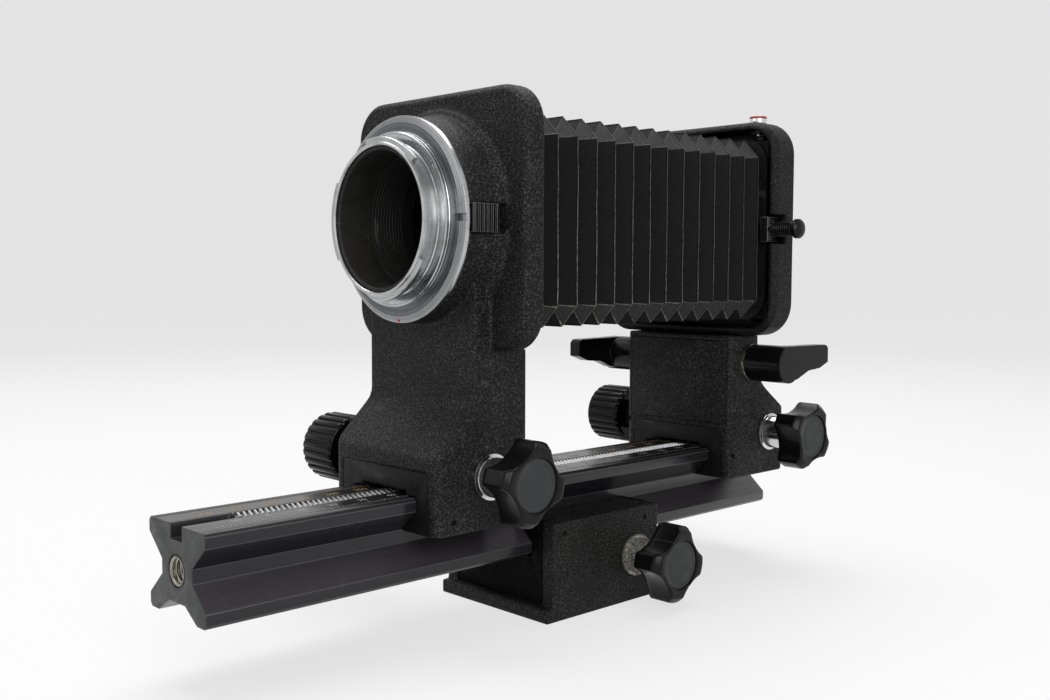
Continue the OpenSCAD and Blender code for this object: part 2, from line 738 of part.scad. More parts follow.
// Lens standard
module lens_profile() {
    round_x = lens_front_x - lens_foot_round;
    round_z = rail_top + lens_foot_rise;
    end_x = lens_column_x + lens_foot_fillet * (1 - sin(lens_slope));
    end_z = round_z + lens_foot_round * cos(lens_slope)
        + (round_x + lens_foot_round * sin(lens_slope) - end_x) * tan(lens_slope);
    polygon([
        [lens_foot_x, foot_low], [lens_front_x, foot_low],
        each arc(round_x, round_z, lens_foot_round, 0, 90 - lens_slope),
        each arc(
            lens_column_x + lens_foot_fillet, end_z + lens_foot_fillet * cos(lens_slope),
            lens_foot_fillet, 270 - lens_slope, 180
        ),
        [lens_column_x, lens_column_top], [lens_foot_x, lens_column_top],
    ]);
}
module lens_standard() color(black)
    difference() {
        intersection() {
            across(foot_w) lens_profile();
            foot_plan(lens_foot_x, lens_front_x);
        }
        along_rail(lens_foot_x - over, lens_front_x - lens_foot_x + 2 * over)
            foot_channel(slide_gap);
        foot_cover_seat(lens_foot_x);
        foot_cover_seat(lens_front_x);
        upper_cover_seat();
        shaft_bores(lens_x);
        translate([tang_x - seat_gap, -tang_w / 2 - seat_gap, lens_column_top - tang_h - seat_gap])
            cube([tang_t + 2 * seat_gap, tang_w + 2 * seat_gap, tang_h + over]);
        to_right(lever_x, -foot_w / 2 - over, lever_z)
            cylinder(r = stud_r + run_gap, h = foot_w + 2 * over);
    }
module upper_cover_box(x, t, g)
    translate([x, -upper_cover_w / 2 - g, upper_cover_low - g])
        cube([t, upper_cover_w + 2 * g, lens_column_top - cover_round - upper_cover_low + 2 * g]);
module upper_cover_seat() upper_cover_box(lens_foot_x - over, cover_t + cover_in + over, 0);
module lens_upper_cover() color(black) upper_cover_box(lens_foot_x + cover_in / 2, cover_t, 0);
module lens_rear_cover() foot_cover(lens_foot_x + cover_in);
module lens_front_cover() foot_cover(lens_front_x - cover_t - cover_in);
module lens_lock_bush() lock_bush(lens_x, -foot_w / 2, shaft_z, bush_spigot_l);
module lens_focus_bush() focus_bush(lens_x);
module lens_focus_shaft() focus_shaft(lens_x);
module lens_pinion() pinion(lens_x);
module lens_focus_knob() focus_knob(lens_x);
module lens_lock_knob() lock_knob(lens_x, lock_y, shaft_z, lens_knob_turn);
module lens_lock_cap() lock_cap(lens_x, lock_y, shaft_z);
module lens_lock_stud() lock_stud(lens_x, lock_y, shaft_z, run_gap - shaft_meet_y);

// Clamp levers
lever_collar_t = 1.9;
lever_y = foot_w / 2 + lever_collar_t + seat_gap;
stud_depth_share = 0.8;
// The wing's outline, each point a share of the wing's reach and of the hub's radius
wing_shares = [
    [0, -0.98], [0.22, -0.8], [0.49, -0.42], [0.78, -0.34], [1, -0.04],
    [1, 0.72], [0.97, 0.88], [0.93, 0.94], [0, 0.99],
];
module lever_collars() color(silver) mirror_pair()
    to_left(lever_x, -foot_w / 2, lever_z) difference() {
        cylinder(r = lever_r, h = lever_collar_t);
        translate([0, 0, -over]) cylinder(r = stud_r + run_gap, h = lever_collar_t + 2 * over);
    }
module clamp_lever() to_left(lever_x, -lever_y, lever_z) difference() {
    union() {
        cylinder(r = lever_r, h = lever_l);
        translate([0, 0, lever_l - wing_t])
            linear_extrude(wing_t) polygon([for (p = wing_shares) [p[0] * wing_l, p[1] * lever_r]]);
    }
    translate([0, 0, -over]) cylinder(r = stud_r, h = lever_l * stud_depth_share + over);
}
module lever_stud() to_left(lever_x, -stud_end, lever_z)
    cylinder(r = stud_r, h = lever_y - stud_end + lever_l * stud_depth_share);
// The left lever is the right one turned half round the column
module other_side() translate([lever_x, 0, 0]) rotate([0, 0, 180]) translate([-lever_x, 0, 0]) children();
module right_clamp_lever() color(gloss) clamp_lever();
module right_lever_stud() color(silver) lever_stud();
module left_clamp_lever() color(gloss) other_side() clamp_lever();
module left_lever_stud() color(silver) other_side() lever_stud();

// Lens panel
module lens_panel() color(black)
    difference() {
        union() {
            difference() {
                translate([panel_x, 0, axis_z]) rotate([90, 0, 90])
                    bevelled_slab(plate_w, plate_h, panel_t, plate_round, plate_bevel);
                along_rail(panel_x - over, panel_t - panel_wall + over) translate([0, axis_z])
                    rounded(plate_w - 2 * panel_rim, plate_h - 2 * panel_rim, plate_round - panel_rim);
            }
            for (y = [-1, 1], z = [-1, 1])
                translate([
                    bellows_end + frame_t, y * (frame_w - pad_w) / 2 - pad_w / 2,
                    axis_z + z * (frame_w - pad_w) / 2 - pad_w / 2,
                ]) cube([panel_inner - bellows_end - frame_t + over, pad_w, pad_w]);
            translate([tang_x, -tang_w / 2, lens_column_top - tang_h])
                cube([tang_t, tang_w, tang_h + plate_bevel + panel_rim / 2]);
        }
        to_front(panel_inner - over, 0, axis_z)
            cylinder(r = chamber_out_r + run_gap, h = panel_wall + 2 * over);
        translate([panel_x - over, -plate_w / 2 - over, axis_z - pin_slot_h / 2])
            cube([pin_slot_front - panel_x + over, panel_rim + 2 * over, pin_slot_h]);
        to_right(lever_x, -tang_w / 2 - over, lever_z)
            cylinder(r = stud_r + run_gap, h = tang_w + 2 * over);
        release_pocket();
        translate([socket_x, socket_y, axis_z + plate_h / 2 - socket_depth])
            cylinder(r = socket_bore_r + socket_ring_w, h = socket_depth + over);
        for (a = screw_angles) lens_screw_place(a) cylinder(r = screw_r, h = screw_l + over);
    }
module bellows_front_frame() bellows_frame(bellows_end);

// Lens mount: a socket for a three-lug bayonet, held by screws
screw_r = 1;
screw_l = 3.2;
screw_head_r = 1.9;
screw_head_t = 1;
screw_ring_r = 27.4;
screw_angles = [54, 126, 198, 270, 342];
module lens_screw_place(a) to_front(panel_front - screw_l, 0, axis_z)
    rotate([0, 0, a]) translate([screw_ring_r, 0, 0]) children();
// A screw, with g more round its head
module lens_screw(g) {
    head = screw_l + lens_flange_x - panel_front - screw_head_t;
    cylinder(r = screw_r, h = head);
    translate([0, 0, head]) cylinder(r = screw_head_r + g, h = screw_head_t + 2 * g);
}
module lens_bayonet() color(silver) difference() {
    union() {
        to_front(panel_front, 0, axis_z) cylinder(r = flange_r, h = lens_flange_x - panel_front);
        to_front(ring_x - seat_gap, 0, axis_z)
            cylinder(r = chamber_out_r, h = lens_flange_x - ring_x + seat_gap);
    }
    difference() {
        to_front(ring_x - over, 0, axis_z)
            cylinder(r = chamber_r, h = lens_flange_x - ring_x + 2 * over);
        for (i = [0 : len(lug_starts) - 1])
            to_front(lens_flange_x - lug_t, 0, axis_z) rotate([0, 0, lug_starts[i] + lug_arc])
                rotate_extrude(angle = lug_arc) translate([throat_r, 0])
                    square([chamber_out_r - throat_r, lug_t]);
    }
    for (a = screw_angles) lens_screw_place(a) lens_screw(seat_gap);
    to_front(panel_front - over, release_pin_y, axis_z)
        cylinder(r = release_pin_r + seat_gap, h = lens_flange_x - panel_front + 2 * over);
}
module lens_bayonet_screws() color(silver)
    for (a = screw_angles) lens_screw_place(a) lens_screw(0);
release_bridge_x = panel_front - seat_gap - release_bridge_t;
module release_pocket() {
    pocket_x = release_bridge_x - release_travel - seat_gap;
    translate([
        pocket_x, release_pin_y - release_pin_r - seat_gap, axis_z - release_bridge_h / 2 - seat_gap,
    ]) cube([
        panel_front - pocket_x + over, release_y - release_pin_y + release_pin_r + seat_gap,
        release_bridge_h + 2 * seat_gap,
    ]);
    to_front(pocket_x, release_y, axis_z)
        cylinder(r = release_r + seat_gap, h = panel_front - pocket_x + over);
}
module lens_release() color(gloss) {
    translate([release_bridge_x, release_pin_y - release_pin_r, axis_z - release_bridge_h / 2])
        cube([release_bridge_t, release_y - release_pin_y + release_pin_r, release_bridge_h]);
    to_front(release_bridge_x, release_y, axis_z)
        cylinder(r = release_r, h = release_bridge_t + release_out);
    to_front(release_bridge_x, release_pin_y, axis_z)
        cylinder(r = release_pin_r, h = lens_flange_x - release_bridge_x + release_pin_out);
}
module cable_socket() color(silver)
    translate([socket_x, socket_y, axis_z + plate_h / 2]) difference() {
        union() {
            translate([0, 0, -socket_depth])
                cylinder(r = socket_bore_r + socket_ring_w, h = socket_depth + socket_h);
            cylinder(r = socket_r, h = socket_h - socket_ring_t);
        }
        translate([0, 0, -socket_depth - over])
            cylinder(r = socket_bore_r, h = socket_depth + socket_h + 2 * over);
    }
module cable_socket_ring() color("red")
    translate([socket_x, socket_y, axis_z + plate_h / 2 + socket_h - socket_ring_t]) difference() {
        cylinder(r = socket_r, h = socket_ring_t);
        translate([0, 0, -over])
            cylinder(r = socket_bore_r + socket_ring_w, h = socket_ring_t + 2 * over);
    }

// Stop-down lever, turned about the optical axis
module stop_down_ring() color(silver) {
    to_front(ring_x, 0, axis_z) difference() {
        cylinder(r = ring_out_r, h = ring_t);
        translate([0, 0, -over]) cylinder(r = ring_in_r, h = ring_t + 2 * over);
    }
    translate([ring_x, -bracket_y - bracket_t, axis_z - bracket_h / 2])
        cube([ring_t, bracket_y + bracket_t - ring_in_r - over, bracket_h]);
    translate([pin_x - pin_r, -bracket_y - bracket_t, axis_z - bracket_h / 2])
        cube([ring_x + ring_t - pin_x + pin_r, bracket_t, bracket_h]);
}
module stop_down_pin() color(gloss)
    to_left(pin_x, -bracket_y - bracket_t, axis_z) {
        cylinder(r = pin_r, h = pin_y - bracket_y - bracket_t - pin_head_t);
        translate([0, 0, pin_y - bracket_y - bracket_t - pin_head_t])
            cylinder(r = pin_head_r, h = pin_head_t);
    }

// Bellows: ridges with chamfered corners and square valleys, as rings of eight corners
function ring_corners(w, c) = let (h = w / 2) [
    [h, h - c], [h - c, h], [c - h, h], [-h, h - c], [-h, c - h], [c - h, -h], [h - c, -h], [h, c - h],
];
function fold_ring(i, inset) = i % 2 == 0
    ? ring_corners(valley_w - 2 * inset, cloth_t / 4)
    : ring_corners(ridge_w - 2 * inset, ridge_chamfer - inset * 0.6);
// The rings from one ring number to another, outside going out and inside coming back
module folded(first, last, x0, step) {
    count = last - first + 1;
    outer = [for (i = [first : last], p = fold_ring(i, 0)) [x0 + i * step, p[0], axis_z + p[1]]];
    inner = [for (i = [first : last], p = fold_ring(i, cloth_t)) [x0 + i * step, p[0], axis_z + p[1]]];
    m = 8 * count;
    polyhedron(
        points = concat(outer, inner),
        faces = concat(
            [for (r = [0 : count - 2], k = [0 : 7]) let (a = 8 * r + k, b = 8 * r + (k + 1) % 8)
                each [[a, a + 8, b], [b, a + 8, b + 8]]],
            [for (r = [0 : count - 2], k = [0 : 7]) let (a = m + 8 * r + k, b = m + 8 * r + (k + 1) % 8)
                each [[a, b, a + 8], [b, b + 8, a + 8]]],
            [for (k = [0 : 7]) let (j = (k + 1) % 8) each [[k, j, m + k], [j, m + j, m + k]]],
            [for (k = [0 : 7]) let (o = 8 * (count - 1), j = (k + 1) % 8)
                each [[o + k, m + o + k, o + j], [o + j, m + o + k, m + o + j]]]
        )
    );
}
module bellows_half(first) color(black)
    folded(first, first + folds, bellows_x, bellows_l / (2 * folds));
module bellows_rear() bellows_half(0);
module bellows_front() bellows_half(folds);

// Tripod block
module block_casting() color(black)
    difference() {
        union() {
            translate([-block_l / 2, -block_w / 2, 0]) cube([block_l, block_w, block_h]);
            intersection() {
                for (s = [-1, 1]) translate([s * (block_l / 2 + base_bow - bow_r), 0, 0])
                    cylinder(r = bow_r, h = base_t);
                translate([-block_l / 2 - base_bow, -block_w / 2, 0])
                    cube([block_l + 2 * base_bow, block_w, base_t]);
            }
        }
        along_rail(-block_l / 2 - over, block_l + 2 * over) rail_outline(slide_gap);
        for (s = [0, 1]) mirror([s, 0, 0]) block_cover_seat();
        translate([0, 0, -over]) cylinder(r = tripod_r, h = tripod_l + over);
        translate([block_lock_x, 0, tripod_l]) cylinder(r = shoe_r + run_gap, h = rail_z);
        to_left(block_lock_x, 0, block_lock_z) cylinder(r = shaft_r + run_gap, h = block_w);
        to_left(block_lock_x, -block_w / 2 + block_spigot_l, block_lock_z)
            cylinder(r = bush_spigot_r, h = block_spigot_l + over);
    }
bow_r = (pow(block_w / 2, 2) + pow(base_bow, 2)) / (2 * base_bow);
module block_cover_seat()
    translate([-block_l / 2 - over, -cover_w / 2, base_t])
        cube([cover_t + cover_in + over, cover_w, block_h]);
module block_cover(x) color(gloss) along_rail(x, cover_t) difference() {
    translate([-cover_w / 2, base_t]) square([cover_w, block_h - base_t]);
    rail_outline(cover_gap);
}
module block_rear_cover() block_cover(-block_l / 2 + cover_in);
module block_front_cover() block_cover(block_l / 2 - cover_in - cover_t);
module tripod_bush() color(silver) difference() {
    cylinder(r = tripod_r, h = tripod_l);
    translate([0, 0, -over]) cylinder(r = thread_r, h = tripod_l + 2 * over);
}
module block_lock_bush()
    lock_bush(block_lock_x, -block_w / 2, block_lock_z, block_spigot_l);
module block_clamp_shoe() color(silver) difference() {
    translate([block_lock_x, 0, tripod_l])
        cylinder(r = shoe_r, h = rail_z + notch_d - tripod_l - run_gap);
    to_left(block_lock_x, 0, block_lock_z) cylinder(r1 = 0, r2 = shaft_r, h = shaft_r);
    to_left(block_lock_x, -shaft_r, block_lock_z) cylinder(r = shaft_r + run_gap, h = shoe_r);
}
module block_lock_knob() lock_knob(block_lock_x, block_lock_y, block_lock_z, block_knob_turn);
module block_lock_cap() lock_cap(block_lock_x, block_lock_y, block_lock_z);
module block_lock_stud() {
    lock_stud(block_lock_x, block_lock_y, block_lock_z, shaft_r + seat_gap);
    color(silver) to_left(block_lock_x, -seat_gap, block_lock_z)
        cylinder(r1 = 0, r2 = shaft_r, h = shaft_r);
}

block_casting();
block_rear_cover();
block_front_cover();
tripod_bush();
block_lock_bush();
block_clamp_shoe();
block_lock_knob();
block_lock_cap();
block_lock_stud();
rail();
rack();
scale_strip_left();
scale_strip_right();
rail_end_inserts();
camera_standard();
camera_rear_cover();
camera_front_cover();
camera_lock_bush();
camera_focus_bush();
bellows_rear_frame();
camera_bayonet();
camera_mount_hub();
camera_mount_sleeve();
camera_mount_retainer();
rotation_release();
camera_focus_shaft();
camera_pinion();
camera_focus_knob();
camera_lock_knob();
camera_lock_cap();
camera_lock_stud();
lens_standard();
lens_rear_cover();
lens_upper_cover();
lens_front_cover();
lens_lock_bush();
lens_focus_bush();
lever_collars();
lens_panel();
bellows_front_frame();
lens_bayonet();
lens_bayonet_screws();
cable_socket();
cable_socket_ring();
lens_focus_shaft();
lens_pinion();
lens_focus_knob();
lens_lock_knob();
lens_lock_cap();
lens_lock_stud();
right_clamp_lever();
right_lever_stud();
left_clamp_lever();
left_lever_stud();
stop_down_ring();
stop_down_pin();
lens_release();
bellows_rear();
bellows_front();
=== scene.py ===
"""Macro bellows unit: finishes, softened castings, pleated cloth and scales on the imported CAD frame."""
import json
import math
import random

import bmesh
import bpy
from mathutils import Matrix, Vector


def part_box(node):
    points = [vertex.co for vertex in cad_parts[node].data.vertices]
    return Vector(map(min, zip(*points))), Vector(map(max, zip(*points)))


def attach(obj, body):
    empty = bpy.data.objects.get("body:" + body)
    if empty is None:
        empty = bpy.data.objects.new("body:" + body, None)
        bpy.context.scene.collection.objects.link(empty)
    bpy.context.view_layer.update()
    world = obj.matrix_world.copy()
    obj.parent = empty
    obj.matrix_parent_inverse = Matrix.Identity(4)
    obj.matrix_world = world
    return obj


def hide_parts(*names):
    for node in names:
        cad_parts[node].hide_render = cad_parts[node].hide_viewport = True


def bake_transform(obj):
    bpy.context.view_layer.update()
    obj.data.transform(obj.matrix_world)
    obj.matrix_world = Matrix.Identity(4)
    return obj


MM = 0.001
SEED = 7
WELD = 0.002 * MM
COPLANAR = math.radians(0.5)
SHARP = math.radians(32)

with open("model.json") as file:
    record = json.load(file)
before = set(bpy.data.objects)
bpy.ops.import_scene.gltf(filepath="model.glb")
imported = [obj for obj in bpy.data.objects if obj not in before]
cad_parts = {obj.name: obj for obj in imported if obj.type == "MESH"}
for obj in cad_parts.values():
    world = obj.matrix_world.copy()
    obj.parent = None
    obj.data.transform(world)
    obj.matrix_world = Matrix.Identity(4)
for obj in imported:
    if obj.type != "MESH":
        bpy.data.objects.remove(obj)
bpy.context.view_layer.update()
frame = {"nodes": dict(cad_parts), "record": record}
scene = bpy.context.scene
scene.view_settings.view_transform = "Standard"


# What the frame says

def node_size(node):
    """Size of a node along x, y and z, in mm."""
    low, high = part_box(node)
    return [(b - a) / MM for a, b in zip(low, high)]


def centre(node):
    low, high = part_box(node)
    return (low + high) / 2


def axis_z():
    """Height of the optical axis."""
    return centre("camera_mount_retainer").z


def mount(name):
    return next(m for m in frame["record"]["mounts"] if m["name"] == name)


# Camera: place and clip in metres, lens and sensor in mm

CAMERA_PLACE = (-0.26677, -0.26774, 0.10823)
CAMERA_YAW = math.radians(46.53)
CAMERA_PITCH = math.radians(-4.06)
CAMERA_ROLL = math.radians(0.18)
CAMERA_LENS = 39.14
CAMERA_SENSOR = 36
CLIP_START = 0.01
CLIP_END = 20


def make_camera():
    forward = Vector((
        math.cos(CAMERA_YAW) * math.cos(CAMERA_PITCH),
        math.sin(CAMERA_YAW) * math.cos(CAMERA_PITCH),
        math.sin(CAMERA_PITCH),
    ))
    right = Vector((math.sin(CAMERA_YAW), -math.cos(CAMERA_YAW), 0))
    up = right.cross(forward)
    rolled_right = right * math.cos(CAMERA_ROLL) + up * math.sin(CAMERA_ROLL)
    rolled_up = up * math.cos(CAMERA_ROLL) - right * math.sin(CAMERA_ROLL)
    data = bpy.data.cameras.new("photo_camera")
    data.lens = CAMERA_LENS
    data.sensor_width = CAMERA_SENSOR
    data.clip_start = CLIP_START
    data.clip_end = CLIP_END
    camera = bpy.data.objects.new("photo_camera", data)
    scene.collection.objects.link(camera)
    turn = Matrix((rolled_right, rolled_up, -forward)).transposed().to_4x4()
    camera.matrix_world = Matrix.Translation(CAMERA_PLACE) @ turn
    scene.camera = camera


# Stage, in metres

FLOOR_INNER = (0.02, 0.4)
FLOOR_FLAT = 1.3
FLOOR_BEND = 0.9
FLOOR_SIDES = 96
BEND_STEPS = 12
WALL_TOP = 2.6
WHITE = (1, 1, 1, 1)
WORLD_LIGHT = 0.5
# Name, place, aim, width and length, and power in watts
SOFTBOXES = (
    ("top_softbox", (0.1, 0.25, 1.0), (0, 0, 0.08), (0.9, 0.7), 9.5),
    ("right_softbox", (-0.32, -0.62, 0.32), (-0.06, 0, 0.06), (0.5, 0.5), 2.9),
    ("left_softbox", (-0.9, 0.35, 0.6), (0, 0, 0.08), (0.7, 0.7), 1.3),
)


def link_mesh(name, bm, materials, smooth=True):
    mesh = bpy.data.meshes.new(name)
    bm.to_mesh(mesh)
    bm.free()
    obj = bpy.data.objects.new(name, mesh)
    scene.collection.objects.link(obj)
    for material in materials:
        mesh.materials.append(material)
    if smooth:
        mesh.shade_smooth()
    return obj


def make_floor():
    """A round pale floor whose rim curves up, so that every view has the same background."""
    profile = [(radius, 0) for radius in (*FLOOR_INNER, FLOOR_FLAT)]
    for i in range(1, BEND_STEPS + 1):
        a = math.pi / 2 * i / BEND_STEPS
        profile.append((FLOOR_FLAT + FLOOR_BEND * math.sin(a), FLOOR_BEND * (1 - math.cos(a))))
    profile.append((FLOOR_FLAT + FLOOR_BEND, WALL_TOP))
    bm = bmesh.new()
    turns = [2 * math.pi * k / FLOOR_SIDES for k in range(FLOOR_SIDES)]
    rings = [[bm.verts.new((r * math.cos(a), r * math.sin(a), z)) for a in turns] for r, z in profile]
    bm.faces.new(rings[0])
    for low, high in zip(rings, rings[1:]):
        for k in range(FLOOR_SIDES):
            j = (k + 1) % FLOOR_SIDES
            bm.faces.new((low[k], low[j], high[j], high[k]))
    bmesh.ops.recalc_face_normals(bm, faces=bm.faces)
    link_mesh("studio_floor", bm, [floor_material()])


def make_softbox(name, place, aim, sides, power):
    data = bpy.data.lights.new(name, "AREA")
    data.shape = "RECTANGLE"
    data.size, data.size_y = sides
    data.energy = power
    light = bpy.data.objects.new(name, data)
    scene.collection.objects.link(light)
    light.location = place
    light.rotation_euler = (Vector(aim) - Vector(place)).to_track_quat("-Z", "Y").to_euler()


def make_light():
    world = bpy.data.worlds.new("studio_world")
    scene.world = world
    world.use_nodes = True
    background = world.node_tree.nodes["Background"]
    background.inputs["Color"].default_value = WHITE
    background.inputs["Strength"].default_value = WORLD_LIGHT
    for values in SOFTBOXES:
        make_softbox(*values)


# Materials. Noise scales are per metre, and bump depths are in metres.

MIX_A = 6
MIX_B = 7
MIX_RESULT = 2


class Finish:
    """A node material with short helpers for its procedural inputs."""

    def __init__(self, name, color, roughness, metallic=0.0, specular=0.5):
        self.material = bpy.data.materials.new(name)
        self.material.use_nodes = True
        self.tree = self.material.node_tree
        self.shader = self.tree.nodes["Principled BSDF"]
        self.set("Base Color", (*color, 1))
        self.set("Roughness", roughness)
        self.set("Metallic", metallic)
        self.set("Specular IOR Level", specular)
        self.height = None

    def set(self, socket, value):
        self.shader.inputs[socket].default_value = value

    def plug(self, socket, source):
        self.tree.links.new(source, self.shader.inputs[socket])

    def node(self, kind, links=None, **values):
        made = self.tree.nodes.new(kind)
        for key, value in values.items():
            setattr(made, key, value)
        for key, source in (links or {}).items():
            self.tree.links.new(source, made.inputs[key])
        return made

    def feed(self, socket, value):
        """Put a number or a colour on a node's socket, or link what another node gives."""
        if isinstance(value, tuple):
            socket.default_value = (*value, 1)
        elif isinstance(value, (int, float)):
            socket.default_value = value
        else:
            self.tree.links.new(value, socket)

    def coordinates(self, stretch=(1, 1, 1)):
        source = self.node("ShaderNodeTexCoord").outputs["Object"]
        scaled = self.node("ShaderNodeMapping", {"Vector": source})
        scaled.inputs["Scale"].default_value = stretch
        return scaled.outputs["Vector"]

    def split(self):
        return self.node("ShaderNodeSeparateXYZ", {"Vector": self.coordinates()}).outputs

    def noise(self, scale, detail=2.0, rough=0.5, stretch=(1, 1, 1), distortion=0.0, vector=None):
        made = self.node("ShaderNodeTexNoise", {"Vector": vector or self.coordinates(stretch)})
        values = {"Scale": scale, "Detail": detail, "Roughness": rough, "Distortion": distortion}
        for key, value in values.items():
            made.inputs[key].default_value = value
        return made.outputs["Fac"]

    def span(self, source, between, to=(0.0, 1.0)):
        """What lies between two values, spread out to two others."""
        made = self.node("ShaderNodeMapRange", {"Value": source})
        for key, value in zip(("From Min", "From Max", "To Min", "To Max"), (*between, *to)):
            made.inputs[key].default_value = value
        return made.outputs["Result"]

    def math(self, kind, a, b):
        made = self.node("ShaderNodeMath", operation=kind)
        self.feed(made.inputs[0], a)
        self.feed(made.inputs[1], b)
        return made.outputs["Value"]

    def distance(self, place):
        """Distance of a surface point from a place on the object, in metres."""
        made = self.node("ShaderNodeVectorMath", {0: self.coordinates()}, operation="DISTANCE")
        made.inputs[1].default_value = place
        return made.outputs["Value"]

    def mix(self, factor, a, b):
        made = self.node("ShaderNodeMix", data_type="RGBA")
        self.tree.links.new(factor, made.inputs["Factor"])
        self.feed(made.inputs[MIX_A], a)
        self.feed(made.inputs[MIX_B], b)
        return made.outputs[MIX_RESULT]

    def bump(self, source, depth, strength=1.0):
        made = self.node("ShaderNodeBump", {"Height": source})
        made.inputs["Distance"].default_value = depth
        made.inputs["Strength"].default_value = strength
        if self.height is not None:
            self.tree.links.new(self.height, made.inputs["Normal"])
        self.height = made.outputs["Normal"]
        self.plug("Normal", self.height)


def shade(color, factor):
    return tuple(factor * c for c in color)


def spread(value, least, most):
    return value * least, value * most


PAPER_COLOR = (0.25, 0.252, 0.252)
PAPER_GLOW_FLOOR = 0.68
PAPER_GLOW_WALL = 0.73
PAPER_DEPTH = 0.05 * MM


def floor_material():
    """Pale paper. Part of its brightness is for the camera and for reflections, and lights nothing."""
    finish = Finish("studio_paper", PAPER_COLOR, roughness=0.95, specular=0.05)
    path = finish.node("ShaderNodeLightPath").outputs
    seen = finish.math("MAXIMUM", path["Is Glossy Ray"], path["Is Transmission Ray"])
    seen = finish.math("MAXIMUM", path["Is Camera Ray"], seen)
    height = finish.split()["Z"]
    glow = finish.span(height, between=(0, FLOOR_BEND), to=(PAPER_GLOW_FLOOR, PAPER_GLOW_WALL))
    finish.set("Emission Color", WHITE)
    finish.plug("Emission Strength", finish.math("MULTIPLY", seen, glow))
    finish.bump(finish.noise(scale=900), PAPER_DEPTH, strength=0.2)
    return finish.material


CRINKLE_GRAIN = 2000
CRINKLE_DEPTH = 0.3 * MM
CRINKLE_DUST = (0.2, 0.195, 0.185)
CHIP_COLOR = (0.21, 0.2, 0.17)
CHIPS_FROM = 7 * MM
CHIPS_TO = 14 * MM


def crinkle(name, color, wear_and_glint, grain=CRINKLE_GRAIN, worn_at=None):
    """Crinkle paint: fine wrinkles whose tops are painted lighter, partly as rubbed wear and partly as
    painted glints of light, and paint lost round a worn place.
    """
    finish = Finish(name, color, roughness=0.55, specular=0.16)
    wrinkles = finish.noise(grain, detail=2.0, rough=0.6, distortion=0.8)
    patches = finish.noise(scale=75, detail=3.0)
    # The wrinkle tops take a lighter colour: partly rubbed wear, partly painted glints.
    tops = finish.span(wrinkles, between=(0.53, 0.61))
    worn = finish.math("MULTIPLY", tops, finish.span(patches, between=(0.3, 0.7), to=(0.5, 1.0)))
    color_out = finish.mix(worn, color, wear_and_glint)
    dust = finish.span(finish.noise(scale=1500, detail=1.0), between=(0.74, 0.78), to=(0.0, 0.5))
    color_out = finish.mix(dust, color_out, CRINKLE_DUST)
    if worn_at is not None:
        near = finish.span(finish.distance(worn_at), between=(CHIPS_FROM, CHIPS_TO), to=(0.13, 0.0))
        chips = finish.math("ADD", finish.noise(scale=1200, detail=3.0, rough=0.7), near)
        chipped = finish.span(chips, between=(0.73, 0.78), to=(0.0, 0.7))
        color_out = finish.mix(chipped, color_out, CHIP_COLOR)
    finish.plug("Base Color", color_out)
    finish.plug("Roughness", finish.span(wrinkles, between=(0.3, 0.7), to=(0.65, 0.42)))
    finish.bump(wrinkles, CRINKLE_DEPTH, strength=0.8)
    return finish.material


SMOOTH_DEPTH = 0.02 * MM
SMOOTH_DUST = (0.13, 0.125, 0.12)
SCRATCH_COLOR = (0.11, 0.11, 0.11)
SCRATCH_STRETCH = (1, 0.04, 0.35)


def smooth_black(name, color, roughness, streak=(1, 1, 1), dust=0.0, specular=0.4, tint=None):
    """Smooth black metal or plastic with faint rubbed streaks, scratches and dust."""
    finish = Finish(name, color, roughness, specular=specular)
    rub = finish.noise(scale=260, detail=4.0, rough=0.6, stretch=streak)
    finish.plug("Roughness", finish.span(rub, between=(0.3, 0.7), to=spread(roughness, 0.75, 1.3)))
    cloudy = finish.noise(scale=90, detail=3.0, rough=0.6, stretch=streak)
    color_out = finish.mix(finish.span(cloudy, between=(0.35, 0.7)), color, tint or shade(color, 1.35))
    if dust:
        specks = finish.noise(scale=2100, detail=2.0, rough=0.6)
        specks = finish.span(specks, between=(0.68, 0.74), to=(0.0, dust))
        color_out = finish.mix(specks, color_out, SMOOTH_DUST)
        marks = finish.noise(scale=420, detail=1.0, rough=0.4, stretch=SCRATCH_STRETCH, distortion=0.4)
        marks = finish.span(marks, between=(0.72, 0.74), to=(0.0, dust / 2))
        color_out = finish.mix(marks, color_out, SCRATCH_COLOR)
    finish.plug("Base Color", color_out)
    finish.bump(finish.noise(scale=700, detail=3.0, rough=0.6, stretch=streak), SMOOTH_DEPTH, strength=0.4)
    return finish.material


METAL_DEPTH = 0.01 * MM


def bright_metal(name, color, roughness, streak, stain, depth=METAL_DEPTH):
    """Drawn or machined metal with fine lines along its streak and duller stains."""
    finish = Finish(name, color, roughness, metallic=1.0)
    lines = finish.noise(scale=900, detail=3.0, rough=0.7, stretch=streak)
    finish.plug("Roughness", finish.span(lines, between=(0.3, 0.7), to=spread(roughness, 0.7, 1.4)))
    worn = finish.span(finish.noise(scale=140, detail=4.0, rough=0.65), between=(0.48, 0.75))
    finish.plug("Base Color", finish.mix(worn, color, stain))
    finish.bump(lines, depth, strength=0.5)
    return finish.material


GROOVE_DEPTH = 0.012 * MM
SPOT_COLOR = (0.2, 0.17, 0.12)


